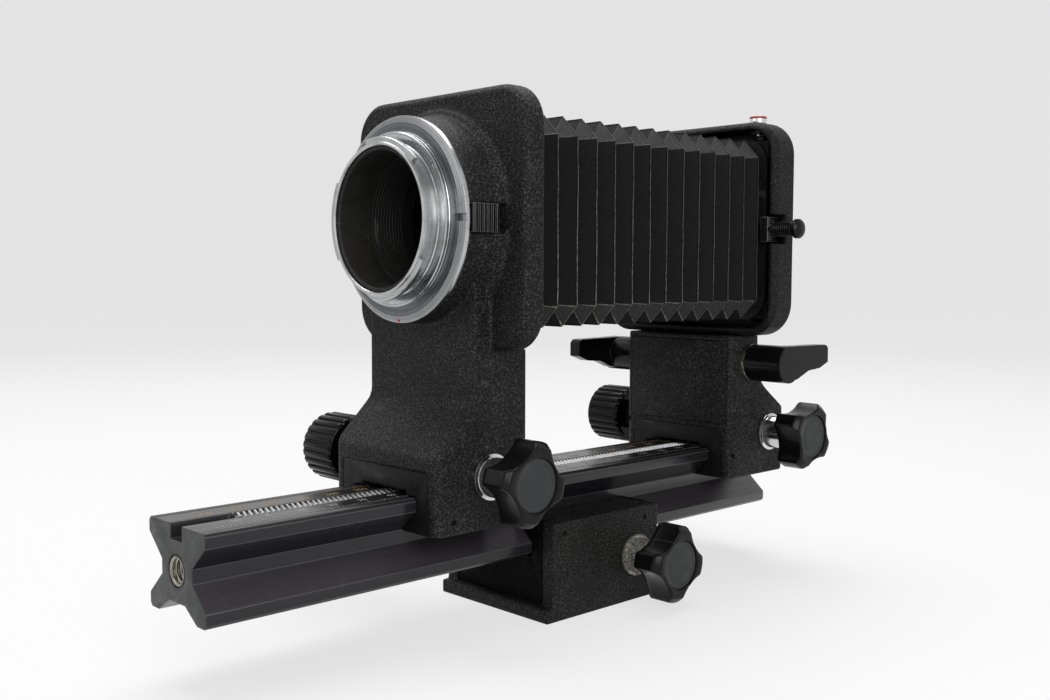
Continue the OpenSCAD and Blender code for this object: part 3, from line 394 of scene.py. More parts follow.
def turned_metal(name, color, roughness, stain):
    """Metal turned about the optical axis: fine grooves round it, with stains and rubbed places."""
    finish = Finish(name, color, roughness, metallic=1.0)
    place = finish.split()
    y = place["Y"]
    z = finish.math("SUBTRACT", place["Z"], axis_z())
    squares = finish.math("ADD", finish.math("MULTIPLY", y, y), finish.math("MULTIPLY", z, z))
    radius = finish.math("SQRT", squares, 0.0)
    unrolled = finish.node("ShaderNodeCombineXYZ", {"X": radius, "Y": place["X"]})
    lines = finish.noise(scale=4200, detail=3.0, vector=unrolled.outputs["Vector"])
    finish.plug("Roughness", finish.span(lines, between=(0.3, 0.7), to=spread(roughness, 0.7, 1.4)))
    finish.bump(lines, GROOVE_DEPTH, strength=0.7)
    rubbed = finish.span(finish.noise(scale=170, detail=4.0, rough=0.65), between=(0.5, 0.75))
    color_out = finish.mix(rubbed, color, stain)
    rings = finish.span(lines, between=(0.38, 0.6), to=(0.0, 0.8))
    color_out = finish.mix(rings, color_out, shade(color, 0.5))
    spots = finish.noise(scale=900, detail=3.0, rough=0.7)
    spots = finish.span(spots, between=(0.66, 0.74), to=(0.0, 0.7))
    finish.plug("Base Color", finish.mix(spots, color_out, SPOT_COLOR))
    return finish.material


PLATING_DEPTH = 0.12 * MM


def worn_plating(name, color, bare):
    """Plating that has worn through in crumbs to a paler metal."""
    finish = Finish(name, color, roughness=0.5, metallic=0.7)
    crumbs = finish.noise(scale=1500, detail=4.0, rough=0.75)
    worn = finish.span(crumbs, between=(0.44, 0.58))
    finish.plug("Base Color", finish.mix(worn, color, bare))
    finish.plug("Roughness", finish.span(crumbs, between=(0.4, 0.6), to=(0.6, 0.35)))
    finish.bump(crumbs, PLATING_DEPTH, strength=0.8)
    return finish.material


WEAVE_SCALE = 2600
WEAVE_STRETCH = 0.25
WEAVE_DEPTH = 0.06 * MM
LINT_FROM = 0.64
LINT_TO = 0.76


def cloth_black(name, color, tip, roughness=0.68, lint_and_light_share=0.5):
    """Coated bellows cloth: a fine weave with patches of lint. In the corner copy, the lighter colour and
    greater share of lint are painted light.
    """
    finish = Finish(name, color, roughness, specular=0.14)
    warp = finish.noise(WEAVE_SCALE, detail=1.0, stretch=(1, WEAVE_STRETCH, 1))
    weft = finish.noise(WEAVE_SCALE, detail=1.0, stretch=(1, 1, WEAVE_STRETCH))
    weave = finish.math("MULTIPLY", warp, weft)
    lint = finish.noise(scale=1600, detail=3.0, rough=0.75)
    lint = finish.span(lint, between=(LINT_FROM - 0.1 * lint_and_light_share, LINT_TO))
    patch = finish.span(finish.noise(scale=45, detail=3.0, rough=0.6), between=(0.35, 0.65), to=(0.3, 1.0))
    finish.plug("Base Color", finish.mix(finish.math("MULTIPLY", lint, patch), color, tip))
    finish.bump(weave, WEAVE_DEPTH, strength=0.7)
    finish.set("Sheen Weight", 0.05)
    finish.set("Sheen Roughness", 0.5)
    return finish.material


CREST_DEPTH = 0.03 * MM
CREST_STRETCH = (0.3, 1, 1)


def dusty_crest(name, color, dust):
    """The rubbed, dusty crests of the folds: palest low down and towards the camera end."""
    finish = Finish(name, color, roughness=0.7, specular=0.2)
    place = finish.split()
    low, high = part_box("bellows_rear")
    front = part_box("bellows_front")[1]
    low_down = finish.span(place["Z"], between=(low.z, high.z), to=(1.0, 0.22))
    rearward = finish.span(place["X"], between=(low.x, front.x), to=(1.0, 0.35))
    patchy = finish.noise(scale=700, detail=4.0, rough=0.75, stretch=CREST_STRETCH)
    patchy = finish.span(patchy, between=(0.4, 0.58), to=(0.1, 1.0))
    share = finish.math("MULTIPLY", finish.math("MULTIPLY", low_down, rearward), patchy)
    finish.plug("Base Color", finish.mix(share, color, dust))
    finish.bump(finish.noise(scale=1800), CREST_DEPTH, strength=0.6)
    return finish.material


PAINT_DEPTH = 0.01 * MM


def plain_paint(name, color, roughness=0.45):
    finish = Finish(name, color, roughness)
    rubbed = finish.noise(scale=1200, detail=3.0, rough=0.7)
    rubbed = finish.span(rubbed, between=(0.55, 0.75), to=(0.0, 0.6))
    finish.plug("Base Color", finish.mix(rubbed, color, shade(color, 0.4)))
    finish.bump(finish.noise(scale=1500), PAINT_DEPTH, strength=0.4)
    return finish.material


ALONG_RAIL = (0.05, 1, 1)
ALONG_STRIP = (0.1, 1, 1)
ALONG_FLUTES = (1, 0.06, 1)
ROUND_SHAFT = (1, 0.12, 1)
ROUND_THREAD = (1, 0.3, 1)
ALONG_TEETH = (1, 0.15, 1)
STEEL_DEPTH = 0.002 * MM


def crinkle_paints():
    """The castings' paint. The block's is chipped on its right face, round its lock collar."""
    collar = centre("block_lock_bush")
    worn_at = (collar.x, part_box("block_casting")[0].y, collar.z)
    return {
        "crinkle": crinkle("crinkle_black", (0.005, 0.005, 0.0052), (0.085, 0.086, 0.083)),
        "crinkle_block": crinkle(
            "crinkle_block", (0.004, 0.004, 0.004), (0.075, 0.073, 0.068), worn_at=worn_at),
        "crinkle_panel": crinkle(
            "crinkle_panel", (0.004, 0.004, 0.0042), (0.055, 0.055, 0.053), grain=2200),
    }


def smooth_blacks():
    return {
        "recess": smooth_black("recess_black", (0.006, 0.006, 0.0062), 0.45, dust=0.3, specular=0.12),
        "cover": smooth_black("cover_black", (0.008, 0.0083, 0.0085), 0.45, dust=0.6, specular=0.14),
        # A darker, barely reflecting copy of the cover black: painted shade on the block's covers.
        "cover_low": smooth_black("block_cover", (0.004, 0.004, 0.0042), 0.6, dust=0.4, specular=0.05),
        "rail": smooth_black(
            "rail_anodised", (0.0135, 0.013, 0.016), 0.24, ALONG_RAIL, dust=0.35, specular=0.35,
            tint=(0.025, 0.0215, 0.0255)),
        # A lighter, purple copy of the rail's black, painted as the floor's reflection on the upper sides of
        # the lower flanges.
        "rail_low": smooth_black(
            "rail_low", (0.032, 0.0275, 0.034), 0.3, ALONG_RAIL, dust=0.3, specular=0.33,
            tint=(0.05, 0.042, 0.05)),
        # A lighter black on the rail's broken edges: a painted highlight.
        "rail_edge": smooth_black("rail_edge", (0.05, 0.05, 0.052), 0.35),
        # A lighter copy of the rail's black for its end faces, painted as light falling on them.
        "rail_end": smooth_black("rail_end_face", (0.07, 0.072, 0.073), 0.5, specular=0.35),
        "gloss": smooth_black("knob_gloss", (0.005, 0.005, 0.0052), 0.2, specular=0.18, dust=0.3),
        "fluted": smooth_black(
            "fluted_black", (0.004, 0.004, 0.0042), 0.13, ALONG_FLUTES, specular=0.13, dust=0.3),
        "cap": smooth_black("cap_grey", (0.034, 0.036, 0.037), 0.5, specular=0.3),
        "sleeve": smooth_black("sleeve_matt", (0.015, 0.014, 0.013), 0.6, dust=1.0, specular=0.3),
        "strip": smooth_black(
            "strip_black", (0.012, 0.0125, 0.012), 0.2, ALONG_STRIP, dust=0.5, specular=0.36),
        "ring_black": smooth_black("ring_black", (0.01, 0.01, 0.01), 0.35, dust=0.4, specular=0.35),
        # A lighter black on the broken edges of the release and the stop-down ring: a painted highlight.
        "edge_line": smooth_black("edge_line", (0.12, 0.12, 0.117), 0.4),
        # Near-black and barely reflecting: painted shade for the hollows of the pins.
        "dark_hole": smooth_black("dark_hole", (0.002, 0.002, 0.002), 0.8, specular=0.1),
    }


def metals():
    return {
        "rack": bright_metal("rack_metal", (0.85, 0.86, 0.87), 0.27, ALONG_TEETH, (0.5, 0.49, 0.47)),
        "steel": bright_metal(
            "turned_steel", (0.72, 0.72, 0.72), 0.14, ROUND_SHAFT, (0.5, 0.5, 0.49), STEEL_DEPTH),
        "insert_metal": bright_metal(
            "insert_metal", (0.36, 0.34, 0.3), 0.25, ROUND_THREAD, (0.2, 0.18, 0.15)),
        "pale_gold": bright_metal("pale_gold", (0.55, 0.52, 0.44), 0.25, ROUND_SHAFT, (0.3, 0.27, 0.2)),
        "worn_collar": worn_plating("worn_collar", (0.1, 0.096, 0.088), (0.55, 0.53, 0.47)),
        "chrome": turned_metal("flange_chrome", (0.58, 0.59, 0.6), 0.22, (0.36, 0.355, 0.34)),
        # Darker copies of the turned chrome for the flange's flat face and its bevel, painted as the dark
        # surroundings they reflect.
        "flange_face": turned_metal("flange_face", (0.19, 0.2, 0.212), 0.3, (0.12, 0.125, 0.13)),
        "flange_rim": turned_metal("flange_rim", (0.33, 0.34, 0.35), 0.3, (0.22, 0.22, 0.21)),
    }


def cloths_and_inks():
    return {
        "cloth": cloth_black("bellows_cloth", (0.0085, 0.0087, 0.009), (0.035, 0.033, 0.031)),
        "cloth_edge": dusty_crest("bellows_edge", (0.04, 0.039, 0.037), (0.36, 0.33, 0.28)),
        # A lighter copy of the cloth with more lint, painted as light on the corner facets that face -X.
        "cloth_corner": cloth_black(
            "bellows_corner", (0.045, 0.046, 0.046), (0.14, 0.14, 0.137), roughness=0.5, lint_and_light_share=1.0),
        "red": plain_paint("red_enamel", (0.5, 0.02, 0.018), roughness=0.35),
        "white_ink": plain_paint("white_ink", (0.34, 0.34, 0.33)),
        "yellow_ink": plain_paint("yellow_ink", (0.3, 0.18, 0.05)),
    }


# The nodes that show as they are. Every other node has a stand-in below.
NODE_FINISH = {
    "cover": ["camera_focus_bush", "lens_focus_bush"],
    "fluted": ["lens_release"],
    "sleeve": ["camera_mount_retainer", "bellows_rear_frame", "bellows_front_frame"],
    "strip": ["scale_strip_left", "scale_strip_right"],
    "rack": ["rack", "camera_pinion", "lens_pinion"],
    "steel": ["tripod_bush", "block_clamp_shoe", "block_lock_stud", "camera_lock_stud",
              "lens_lock_stud", "camera_focus_shaft", "lens_focus_shaft", "right_lever_stud",
              "left_lever_stud", "lens_bayonet_screws", "camera_mount_hub"],
    "red": ["cable_socket_ring"],
}


def repaint(node, material):
    mesh = frame["nodes"][node].data
    mesh.materials.clear()
    mesh.materials.append(material)


# Softened castings and broken edges

SMOOTH_FACTOR = 0.5
BEVEL_SEGMENTS = 2


def applied(obj):
    """The object with its modifiers worked into its mesh."""
    bpy.context.view_layer.update()
    graph = bpy.context.evaluated_depsgraph_get()
    mesh = bpy.data.meshes.new_from_object(obj.evaluated_get(graph))
    obj.modifiers.clear()
    obj.data = mesh
    return obj


def stand_in(obj, node, body):
    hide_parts(node)
    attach(obj, body)
    return obj


def welded(node):
    bm = bmesh.new()
    bm.from_mesh(frame["nodes"][node].data)
    bmesh.ops.remove_doubles(bm, verts=bm.verts, dist=WELD)
    return bm


def soften(node, body, materials, voxel, passes, pick=None):
    """A casting or moulding with rounded edges and filled corners, from its sharp solid."""
    obj = link_mesh(node + "_cast", welded(node), [])
    remesh = obj.modifiers.new("remesh", "REMESH")
    remesh.mode = "VOXEL"
    remesh.voxel_size = voxel
    smooth = obj.modifiers.new("smooth", "SMOOTH")
    smooth.factor = SMOOTH_FACTOR
    smooth.iterations = passes
    mesh = applied(obj).data
    mesh.materials.clear()
    for material in materials:
        mesh.materials.append(material)
    if pick:
        for polygon in mesh.polygons:
            polygon.material_index = pick(polygon.center, polygon.normal)
    mesh.shade_smooth()
    return stand_in(obj, node, body)


def edged(node, body, materials, width, pick=None, edge_material=-1):
    """A machined solid with its edges broken. An edge material of -1 is that of the faces beside it."""
    bm = welded(node)
    bmesh.ops.dissolve_limit(bm, angle_limit=COPLANAR, verts=bm.verts, edges=bm.edges)
    obj = link_mesh(node + "_edged", bm, materials)
    bevel = obj.modifiers.new("bevel", "BEVEL")
    bevel.width = width
    bevel.segments = BEVEL_SEGMENTS
    bevel.limit_method = "ANGLE"
    bevel.angle_limit = SHARP
    bevel.material = edge_material
    mesh = applied(obj).data
    if pick:
        for polygon in mesh.polygons:
            if polygon.material_index != edge_material:
                polygon.material_index = pick(polygon.center, polygon.normal)
    mesh.shade_smooth()
    mesh.set_sharp_from_angle(angle=SHARP)
    return stand_in(obj, node, body)


# Turned pieces. Their outlines are in mm.

DIRECTIONS = {
    "front": (Vector((0, 0, -1)), Vector((0, 1, 0)), Vector((1, 0, 0))),
    "left": (Vector((1, 0, 0)), Vector((0, 0, 1)), Vector((0, -1, 0))),
    "right": (Vector((1, 0, 0)), Vector((0, 0, -1)), Vector((0, 1, 0))),
    "rear": (Vector((0, 1, 0)), Vector((0, 0, 1)), Vector((-1, 0, 0))),
}
BREAK_HALF = 0.05
BREAK_CLEAR = 0.6


def round_angles(count, breaks=()):
    """Even angles in degrees, with a close pair at each break where the shape steps."""
    even = [360 * k / count for k in range(count)]
    kept = [a for a in even if all(abs((a - b + 180) % 360 - 180) > BREAK_CLEAR for b in breaks)]
    return sorted(kept + [(b + side * BREAK_HALF) % 360 for b in breaks for side in (-1, 1)])


def turned(name, direction, base, outline, materials, angles, closed=False):
    """
    Rings round an axis from base. outline(angle) gives sections of the outline, each with the index
    of its material and the (along, radius) points at which its bands start.
    """
    u, v, w = DIRECTIONS[direction]
    bm = bmesh.new()
    sections = [outline(a) for a in angles]
    columns = [[point for _, points in column for point in points] for column in sections]
    bands = [band for band, points in sections[0] for _ in points]
    rings = []
    for i, (first_along, _) in enumerate(columns[0]):
        if max(column[i][1] for column in columns) == 0:
            pole = bm.verts.new(base + w * first_along * MM)
            rings.append([pole] * len(angles))
            continue
        ring = []
        for a, column in zip(angles, columns):
            along, radius = column[i]
            out = u * math.cos(math.radians(a)) + v * math.sin(math.radians(a))
            ring.append(bm.verts.new(base + (w * along + out * radius) * MM))
        rings.append(ring)
    pairs = list(zip(rings, rings[1:]))
    if closed:
        pairs.append((rings[-1], rings[0]))
    for (low, high), band in zip(pairs, bands):
        for k in range(len(angles)):
            j = (k + 1) % len(angles)
            corners = list(dict.fromkeys((low[k], low[j], high[j], high[k])))
            bm.faces.new(corners).material_index = band
    bmesh.ops.recalc_face_normals(bm, faces=bm.faces)
    obj = link_mesh(name, bm, materials)
    obj.data.set_sharp_from_angle(angle=SHARP)
    return obj


def same(*sections):
    """The same sections at every angle."""
    return lambda angle: sections


def end_of(node, direction):
    """The middle of a node's first face along a direction."""
    low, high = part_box(node)
    middle = (low + high) / 2
    starts = {
        "front": (low.x, middle.y, middle.z),
        "left": (middle.x, high.y, middle.z),
        "right": (middle.x, low.y, middle.z),
    }
    return Vector(starts[direction])


MOUNT_SIDES = 180
LUG_STARTS = (166, 300, 60)
LUG_ARCS = (60, 66, 60)
LUG_R = 23.5
LUG_FRONT = 0.4
LUG_BACK = 2.0
TUBE_R = 22.0
SEAT_FROM_END = 5.2
SEAT_GROOVE = ((1.0, 0), (1.1, 0.12), (1.25, 0))
FLANGE_FROM_END = 7.4
BEVEL_INSET = 1.9
BEVEL_SLOPE = 0.8
BEVEL_LIP = 0.15
NOTCH_ANGLE = 270
NOTCH_HALF = 2.05
NOTCH_IN_R = 26.0
NOTCH_DEPTH = 1.3
TUBE_EDGE = 0.25
LUG_EDGE = 0.2
RIM_EDGE = 0.3
RING_STEP = 0.05
BORE_CLEAR = 0.05
DOT_OUTLINE = ((-0.12, 0), (-0.1, 0.4), (0.1, 0.6), (0.5, 0.6), (0.5, 0))
DOT_FROM_RIM = 0.9
DOT_SIDES = 16


def on_lug(angle):
    return any((angle - start) % 360 < arc for start, arc in zip(LUG_STARTS, LUG_ARCS))


def make_camera_mount(finishes):
    """The bayonet ring: end of the tube, three lugs, seat, bevelled flange with its lock notch."""
    length, width, _ = node_size("camera_bayonet")
    flange = width / 2
    bore = node_size("camera_mount_sleeve")[1] / 2 + BORE_CLEAR
    seat = mount("camera_mount_seat")["dims"]["r_mm"]
    seat_x = SEAT_FROM_END
    flange_x = FLANGE_FROM_END

    def outline(angle):
        lug = LUG_R if on_lug(angle) else TUBE_R
        cut = NOTCH_DEPTH if abs(angle - NOTCH_ANGLE) < NOTCH_HALF else 0
        slope_x = flange_x + max(cut, BEVEL_SLOPE)
        tube = [
            (RIM_EDGE, bore), (0, bore + TUBE_EDGE), (0, TUBE_R - TUBE_EDGE), (TUBE_EDGE, TUBE_R),
            (LUG_FRONT, TUBE_R), (LUG_FRONT, max(TUBE_R, lug - TUBE_EDGE)), (LUG_FRONT + TUBE_EDGE, lug),
            (LUG_BACK - LUG_EDGE, lug), (LUG_BACK, max(TUBE_R, lug - LUG_EDGE)), (LUG_BACK, TUBE_R),
            (seat_x - TUBE_EDGE, TUBE_R), (seat_x, TUBE_R + TUBE_EDGE), (seat_x, seat - TUBE_EDGE),
            (seat_x + TUBE_EDGE, seat),
        ]
        groove = [(seat_x + along, seat - depth) for along, depth in SEAT_GROOVE]
        face = [
            (flange_x - LUG_EDGE, seat), (flange_x, seat + LUG_EDGE), (flange_x, NOTCH_IN_R),
            (flange_x + cut, NOTCH_IN_R + RING_STEP), (flange_x + cut, flange - BEVEL_INSET - BEVEL_LIP),
        ]
        bevel = [(flange_x + cut, flange - BEVEL_INSET)]
        rim = [
            (slope_x, flange - RING_STEP), (slope_x + 2 * RING_STEP, flange), (length - RIM_EDGE, flange),
            (length, flange - RIM_EDGE), (length, bore),
        ]
        return [(0, tube + groove), (1, face), (2, bevel), (0, rim)]

    breaks = [a % 360 for s, arc in zip(LUG_STARTS, LUG_ARCS) for a in (s, s + arc)]
    breaks += [NOTCH_ANGLE - NOTCH_HALF, NOTCH_ANGLE + NOTCH_HALF]
    # The flat face and the bevel take darker copies of the chrome, painted as reflection.
    materials = [finishes["chrome"], finishes["flange_face"], finishes["flange_rim"]]
    end = end_of("camera_bayonet", "front")
    ring = turned("camera_bayonet_ring", "front", end, outline, materials, round_angles(MOUNT_SIDES, breaks),
                  closed=True)
    stand_in(ring, "camera_bayonet", "camera_mount")

    place = end + Vector((flange_x + BEVEL_SLOPE / 2, 0, DOT_FROM_RIM - flange)) * MM
    dot = turned("mount_index_dot", "front", place, same((0, DOT_OUTLINE)), [finishes["red"]],
                 round_angles(DOT_SIDES))
    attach(dot, "camera_mount")


SLEEVE_WALL = 1.1
SLEEVE_EDGE = 0.15
SLEEVE_MOUTH = (0.35, 0.3)
BAFFLE_START = 12.0
BAFFLE_PITCH = 1.1
BAFFLE_DEPTH = 0.13
BAFFLE_SLOPE = 0.1
BAFFLE_END_CLEAR = 1
SLEEVE_SIDES = 144


def make_sleeve(finishes):
    """The black lining of the camera mount: smooth at its mouth, ringed with fine steps further in."""
    length, width, _ = node_size("camera_mount_sleeve")
    outer = width / 2
    inner = outer - SLEEVE_WALL
    mouth_along, mouth_flare = SLEEVE_MOUTH
    points = [(length, outer), (SLEEVE_EDGE, outer), (0, outer - SLEEVE_EDGE), (0, inner + mouth_flare),
              (mouth_along, inner), (BAFFLE_START, inner)]
    steps = int((length - BAFFLE_START - BAFFLE_END_CLEAR) / BAFFLE_PITCH)
    for i in range(steps):
        x = BAFFLE_START + i * BAFFLE_PITCH
        points += [(x + BAFFLE_SLOPE, inner - BAFFLE_DEPTH), (x + BAFFLE_PITCH / 2, inner - BAFFLE_DEPTH),
                   (x + BAFFLE_PITCH - BAFFLE_SLOPE, inner)]
    points.append((length, inner))
    sleeve = turned("camera_mount_lining", "front", end_of("camera_mount_sleeve", "front"),
                    same((0, points)), [finishes["sleeve"]], round_angles(SLEEVE_SIDES), closed=True)
    stand_in(sleeve, "camera_mount_sleeve", "camera_mount")


# Knobs. Each edge lists its points' distances from a face and how far in they lie.

STUD_R = 3.0
STUD_DEPTH = 7.0
KNOB_BACK = 2.2
LOBES = 4
LOBE_SOFT = 0.5
EDGE_SOFT = 0.4
LOCK_R = 12.4
LOCK_VALLEY_SHARE = 0.7
LOCK_SCALLOP = 15.0
LOCK_CHAMFER = 1.8
LOCK_RECESS = 2.1
LOCK_BACK_EDGE = ((0.15, 1.0), (0.6, 0.35), (1.3, 0.05))
LOCK_RINGS = (2.5, 4.5, 6.5, 7.6, 8.2, 8.7, 9.2)
LOCK_RIM_OUT = 0.45
LOCK_RIM_EDGE = ((0.5, 0.02), (0.22, 0.25), (0.05, 0.55))
LOCK_LAND = ((0, 0.4), (0.12, 0.15), (0.4, 0))
LOCK_LAND_MIN = 0.55
LOCK_LAND_EDGE = 0.95
CAP_EDGE = ((0.25, 0), (0.25, 0.15), (0.05, 0.3), (0, 0.6), (0, 1.3), (0.06, 1.4), (0, 1.5))
LOCK_TURNS = {"camera": 76, "lens": 58, "block": 80}
LOCK_SIDES = 144
CAP_SIDES = 96


def soft_min(a, b, blend):
    h = max(blend - abs(a - b), 0) / blend
    return min(a, b) - h * h * blend / 4


def lobe_radius(angle, turn):
    """Radius of the lobed outline: a circle cut by one scallop between each two lobes."""
    sector = 360 / LOBES
    off = (angle - turn) % sector - sector / 2
    away = LOCK_R * LOCK_VALLEY_SHARE + LOCK_SCALLOP
    across = away * math.sin(math.radians(off))
    if abs(across) >= LOCK_SCALLOP:
        return LOCK_R
    cut = away * math.cos(math.radians(off)) - math.sqrt(LOCK_SCALLOP ** 2 - across ** 2)
    return soft_min(LOCK_R, cut, LOBE_SOFT)


def make_lock_knob(place, turn, finishes):
    """A lobed knob with a grey disc let into its face."""
    node = place + "_lock_knob"
    cap_node = place + "_lock_cap"
    body = place + "_knob"
    thick = node_size(node)[1]
    cap_width, cap_t, _ = node_size(cap_node)
    disc = cap_width / 2

    def outline(angle):
        side = lobe_radius(angle, turn)
        points = [(STUD_DEPTH, 0), (STUD_DEPTH, STUD_R), (0, STUD_R), (0, side - KNOB_BACK)]
        points += [(along, side - inset) for along, inset in LOCK_BACK_EDGE]
        for along in LOCK_RINGS:
            slope = LOCK_R - max(0, along - (thick - LOCK_CHAMFER))
            points.append((along, soft_min(side, slope, EDGE_SOFT)))
        rim = soft_min(side, LOCK_R - LOCK_CHAMFER + LOCK_RIM_OUT, EDGE_SOFT)
        points += [(thick - along, rim - inset) for along, inset in LOCK_RIM_EDGE]
        points.append((thick, max(disc + LOCK_LAND_MIN, rim - LOCK_LAND_EDGE)))
        points += [(thick - along, disc + out) for along, out in LOCK_LAND]
        points += [(thick - LOCK_RECESS, disc), (thick - LOCK_RECESS, 0)]
        return [(0, points)]

    knob = turned(node + "_moulding", "left", end_of(node, "left"), outline, [finishes["gloss"]],
                  round_angles(LOCK_SIDES))
    stand_in(knob, node, body)
    points = [(0, 0), (0, disc)] + [(cap_t - along, disc - inset) for along, inset in CAP_EDGE]
    points += [(cap_t, disc / 2), (cap_t, 0)]
    cap = turned(cap_node + "_disc", "left", end_of(cap_node, "left"), same((0, points)), [finishes["cap"]],
                 round_angles(CAP_SIDES))
    stand_in(cap, cap_node, body)


FLUTES = 24
FLUTE_DEPTH = 0.8
FLUTE_SHARES = (
    (0, 1), (0.12, 1), (0.15, 0.9), (0.18, 0.45), (0.23, 0.25), (0.3, 0.12), (0.39, 0.03),
    (0.5, 0), (0.61, 0.03), (0.7, 0.12), (0.77, 0.25), (0.82, 0.45), (0.85, 0.9), (0.88, 1),
)
RIB_EDGE = ((0, 1.4), (0.2, 0.9), (0.5, 0.5), (0.9, 0.2), (1.4, 0))
DISH_R = 8.6
DISH_DEPTH = 1.2
DISH_EDGE = 0.3
DISH_TAPER = 0.2


def make_focus_knob(node, body, finishes):
    """A fluted knob whose ribs are rounded at both ends."""
    width, length, _ = node_size(node)
    rim = width / 2
    pitch = 360 / FLUTES
    flutes = [(i * pitch + share * pitch, FLUTE_DEPTH * depth)
              for i in range(FLUTES) for share, depth in FLUTE_SHARES]
    depths = dict(flutes)

    def outline(angle):
        side = rim - depths[angle]
        points = [(STUD_DEPTH, 0), (STUD_DEPTH, STUD_R), (0, STUD_R), (0, rim - KNOB_BACK)]
        points += [(along, min(side, rim - inset)) for along, inset in RIB_EDGE]
        points += [(length - along, min(side, rim - inset)) for along, inset in reversed(RIB_EDGE)]
        points += [(length, DISH_R + DISH_EDGE), (length - DISH_EDGE, DISH_R),
                   (length - DISH_DEPTH, DISH_R - DISH_TAPER), (length - DISH_DEPTH, 0)]
        return [(0, points)]

    knob = turned(node + "_ribbed", "right", end_of(node, "right"), outline, [finishes["fluted"]],
                  list(depths))
    stand_in(knob, node, body)


PIN_R = 2.6
PIN_SHOULDER = 0.8
PIN_ROOT = 0.35
PIN_RIBS_FROM = 1.0
PIN_RIB_PITCH = 0.85
PIN_RIB_RISE = ((0, 0.35), (0.12, 0.08), (0.25, 0))
PIN_RIB_FALL = ((0.3, 0), (0.15, 0.1))
PIN_NECK = 0.4
PIN_NECK_CLEAR = 0.4
PIN_HEAD_R = 3.4
PIN_HEAD_T = 2.8
PIN_HEAD = ((0, 0.5), (0.3, 0.1), (0.8, 0), (1.6, 0.05), (2.2, 0.5), (2.6, 1.3))
PIN_HEAD_FLAT = 2.3
RIB_STEP = 0.1
PIN_SIDES = 48


def make_stop_down_pin(finishes):
    """The ribbed stem of the stop-down lever, with a brass shoulder and a round glossy head."""
    length = node_size("stop_down_pin")[1]
    head = length - PIN_HEAD_T
    shoulder = [(0, 0), (0, PIN_R), (PIN_SHOULDER, PIN_R)]
    stem = [(PIN_SHOULDER + RING_STEP, PIN_R - PIN_ROOT)]
    along = PIN_RIBS_FROM
    while along + PIN_RIB_PITCH < head - PIN_NECK_CLEAR:
        stem += [(along + on, PIN_R - inset) for on, inset in PIN_RIB_RISE]
        stem += [(along + PIN_RIB_PITCH - back, PIN_R - inset) for back, inset in PIN_RIB_FALL]
        along += PIN_RIB_PITCH
    top = [(head - RIB_STEP, PIN_R - PIN_NECK)]
    top += [(head + on, PIN_HEAD_R - inset) for on, inset in PIN_HEAD]
    top += [(length, PIN_HEAD_R - PIN_HEAD_FLAT), (length, 0)]
    pin = turned("stop_down_stem", "left", end_of("stop_down_pin", "left"),
                 same((2, shoulder), (0, stem), (1, top)),
                 [finishes["fluted"], finishes["gloss"], finishes["pale_gold"]], round_angles(PIN_SIDES))
    stand_in(pin, "stop_down_pin", "stop_down")


THREAD_PITCH = 1.27
THREAD_DEPTH = 0.55
THREAD_CREST = 0.15
THREAD_FROM = 0.6
INSERT_RIM = ((0, 0), (0, 0.35), (0.35, 0.45), (0.35, 0.75))
INSERT_LIP = (0.1, 0.9)
INSERT_MOUTH = (0.1, 0.35)
INSERT_MOUTH_DEPTH = 0.5
INSERT_SIDES = 64


def make_end_inserts(finishes):
    """Threaded bushes in the rail's ends: a dark rim, then bright thread."""
    low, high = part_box("rail_end_inserts")
    outer = node_size("rail_end_inserts")[1] / 2
    socket = mount("rail_socket_rear")
    depth = socket["dims"]["length_mm"]
    thread = socket["dims"]["r_mm"]
    rim = [(along, outer - inset) for along, inset in INSERT_RIM]
    inside = [(INSERT_LIP[0], outer - INSERT_LIP[1]), (INSERT_MOUTH[0], thread + INSERT_MOUTH[1]),
              (INSERT_MOUTH_DEPTH, thread)]
    x = THREAD_FROM
    while x + THREAD_PITCH < depth:
        inside += [(x + THREAD_CREST, thread), (x + THREAD_PITCH / 2, thread + THREAD_DEPTH),
                   (x + THREAD_PITCH - THREAD_CREST, thread)]
        x += THREAD_PITCH
    sections = [(0, rim), (1, inside), (0, [(depth, thread), (depth, outer)])]
    z = (low.z + high.z) / 2
    for name, x_end, side in (("rear", low.x, 1), ("front", high.x, -1)):
        facing = [(band, [(side * along, r) for along, r in points]) for band, points in sections]
        obj = turned(f"rail_insert_{name}", "front", Vector((x_end, 0, z)), same(*facing),
                     [finishes["ring_black"], finishes["insert_metal"]], round_angles(INSERT_SIDES),
                     closed=True)
        stand_in(obj, "rail_end_inserts", "rail_bar")


# Scales on the rail, in mm

INK = 0.02
TICK_W = 0.2
TICK_REACHES = ((10, 1.9), (5, 1.4), (1, 0.9))
TICK_FROM_EDGE = 0.15
TICKS_PER_NUMBER = 10
NUMBER_FROM_END = 4
NUMBER_OFF = 0.9
DIGIT_SIZE = 3.0
SCALES = {
    "scale_strip_left": {"side": 1, "ink": "yellow_ink", "start": -133.4, "first": 310, "step": -1},
    "scale_strip_right": {"side": -1, "ink": "white_ink", "start": -131.8, "first": -20, "step": 1},
}


def add_box(bm, low, high):
    made = bmesh.ops.create_cube(bm, size=1)["verts"]
    size = Vector(high) - Vector(low)
    middle = (Vector(high) + Vector(low)) / 2
    for vert in made:
        vert.co = Vector(v * s for v, s in zip(vert.co, size)) + middle


def add_number(bm, value, place):
    """A plain number, read from the right-hand side of the rail."""
    curve = bpy.data.curves.new("number", "FONT")
    curve.body = str(value)
    curve.size = DIGIT_SIZE * MM
    curve.align_x = "CENTER"
    curve.align_y = "CENTER"
    curve.extrude = INK * MM / 2
    writing = bpy.data.objects.new("number", curve)
    scene.collection.objects.link(writing)
    bpy.context.view_layer.update()
    graph = bpy.context.evaluated_depsgraph_get()
    mesh = bpy.data.meshes.new_from_object(writing.evaluated_get(graph))
    mesh.transform(Matrix.Translation(place))
    bm.from_mesh(mesh)
    bpy.data.objects.remove(writing)


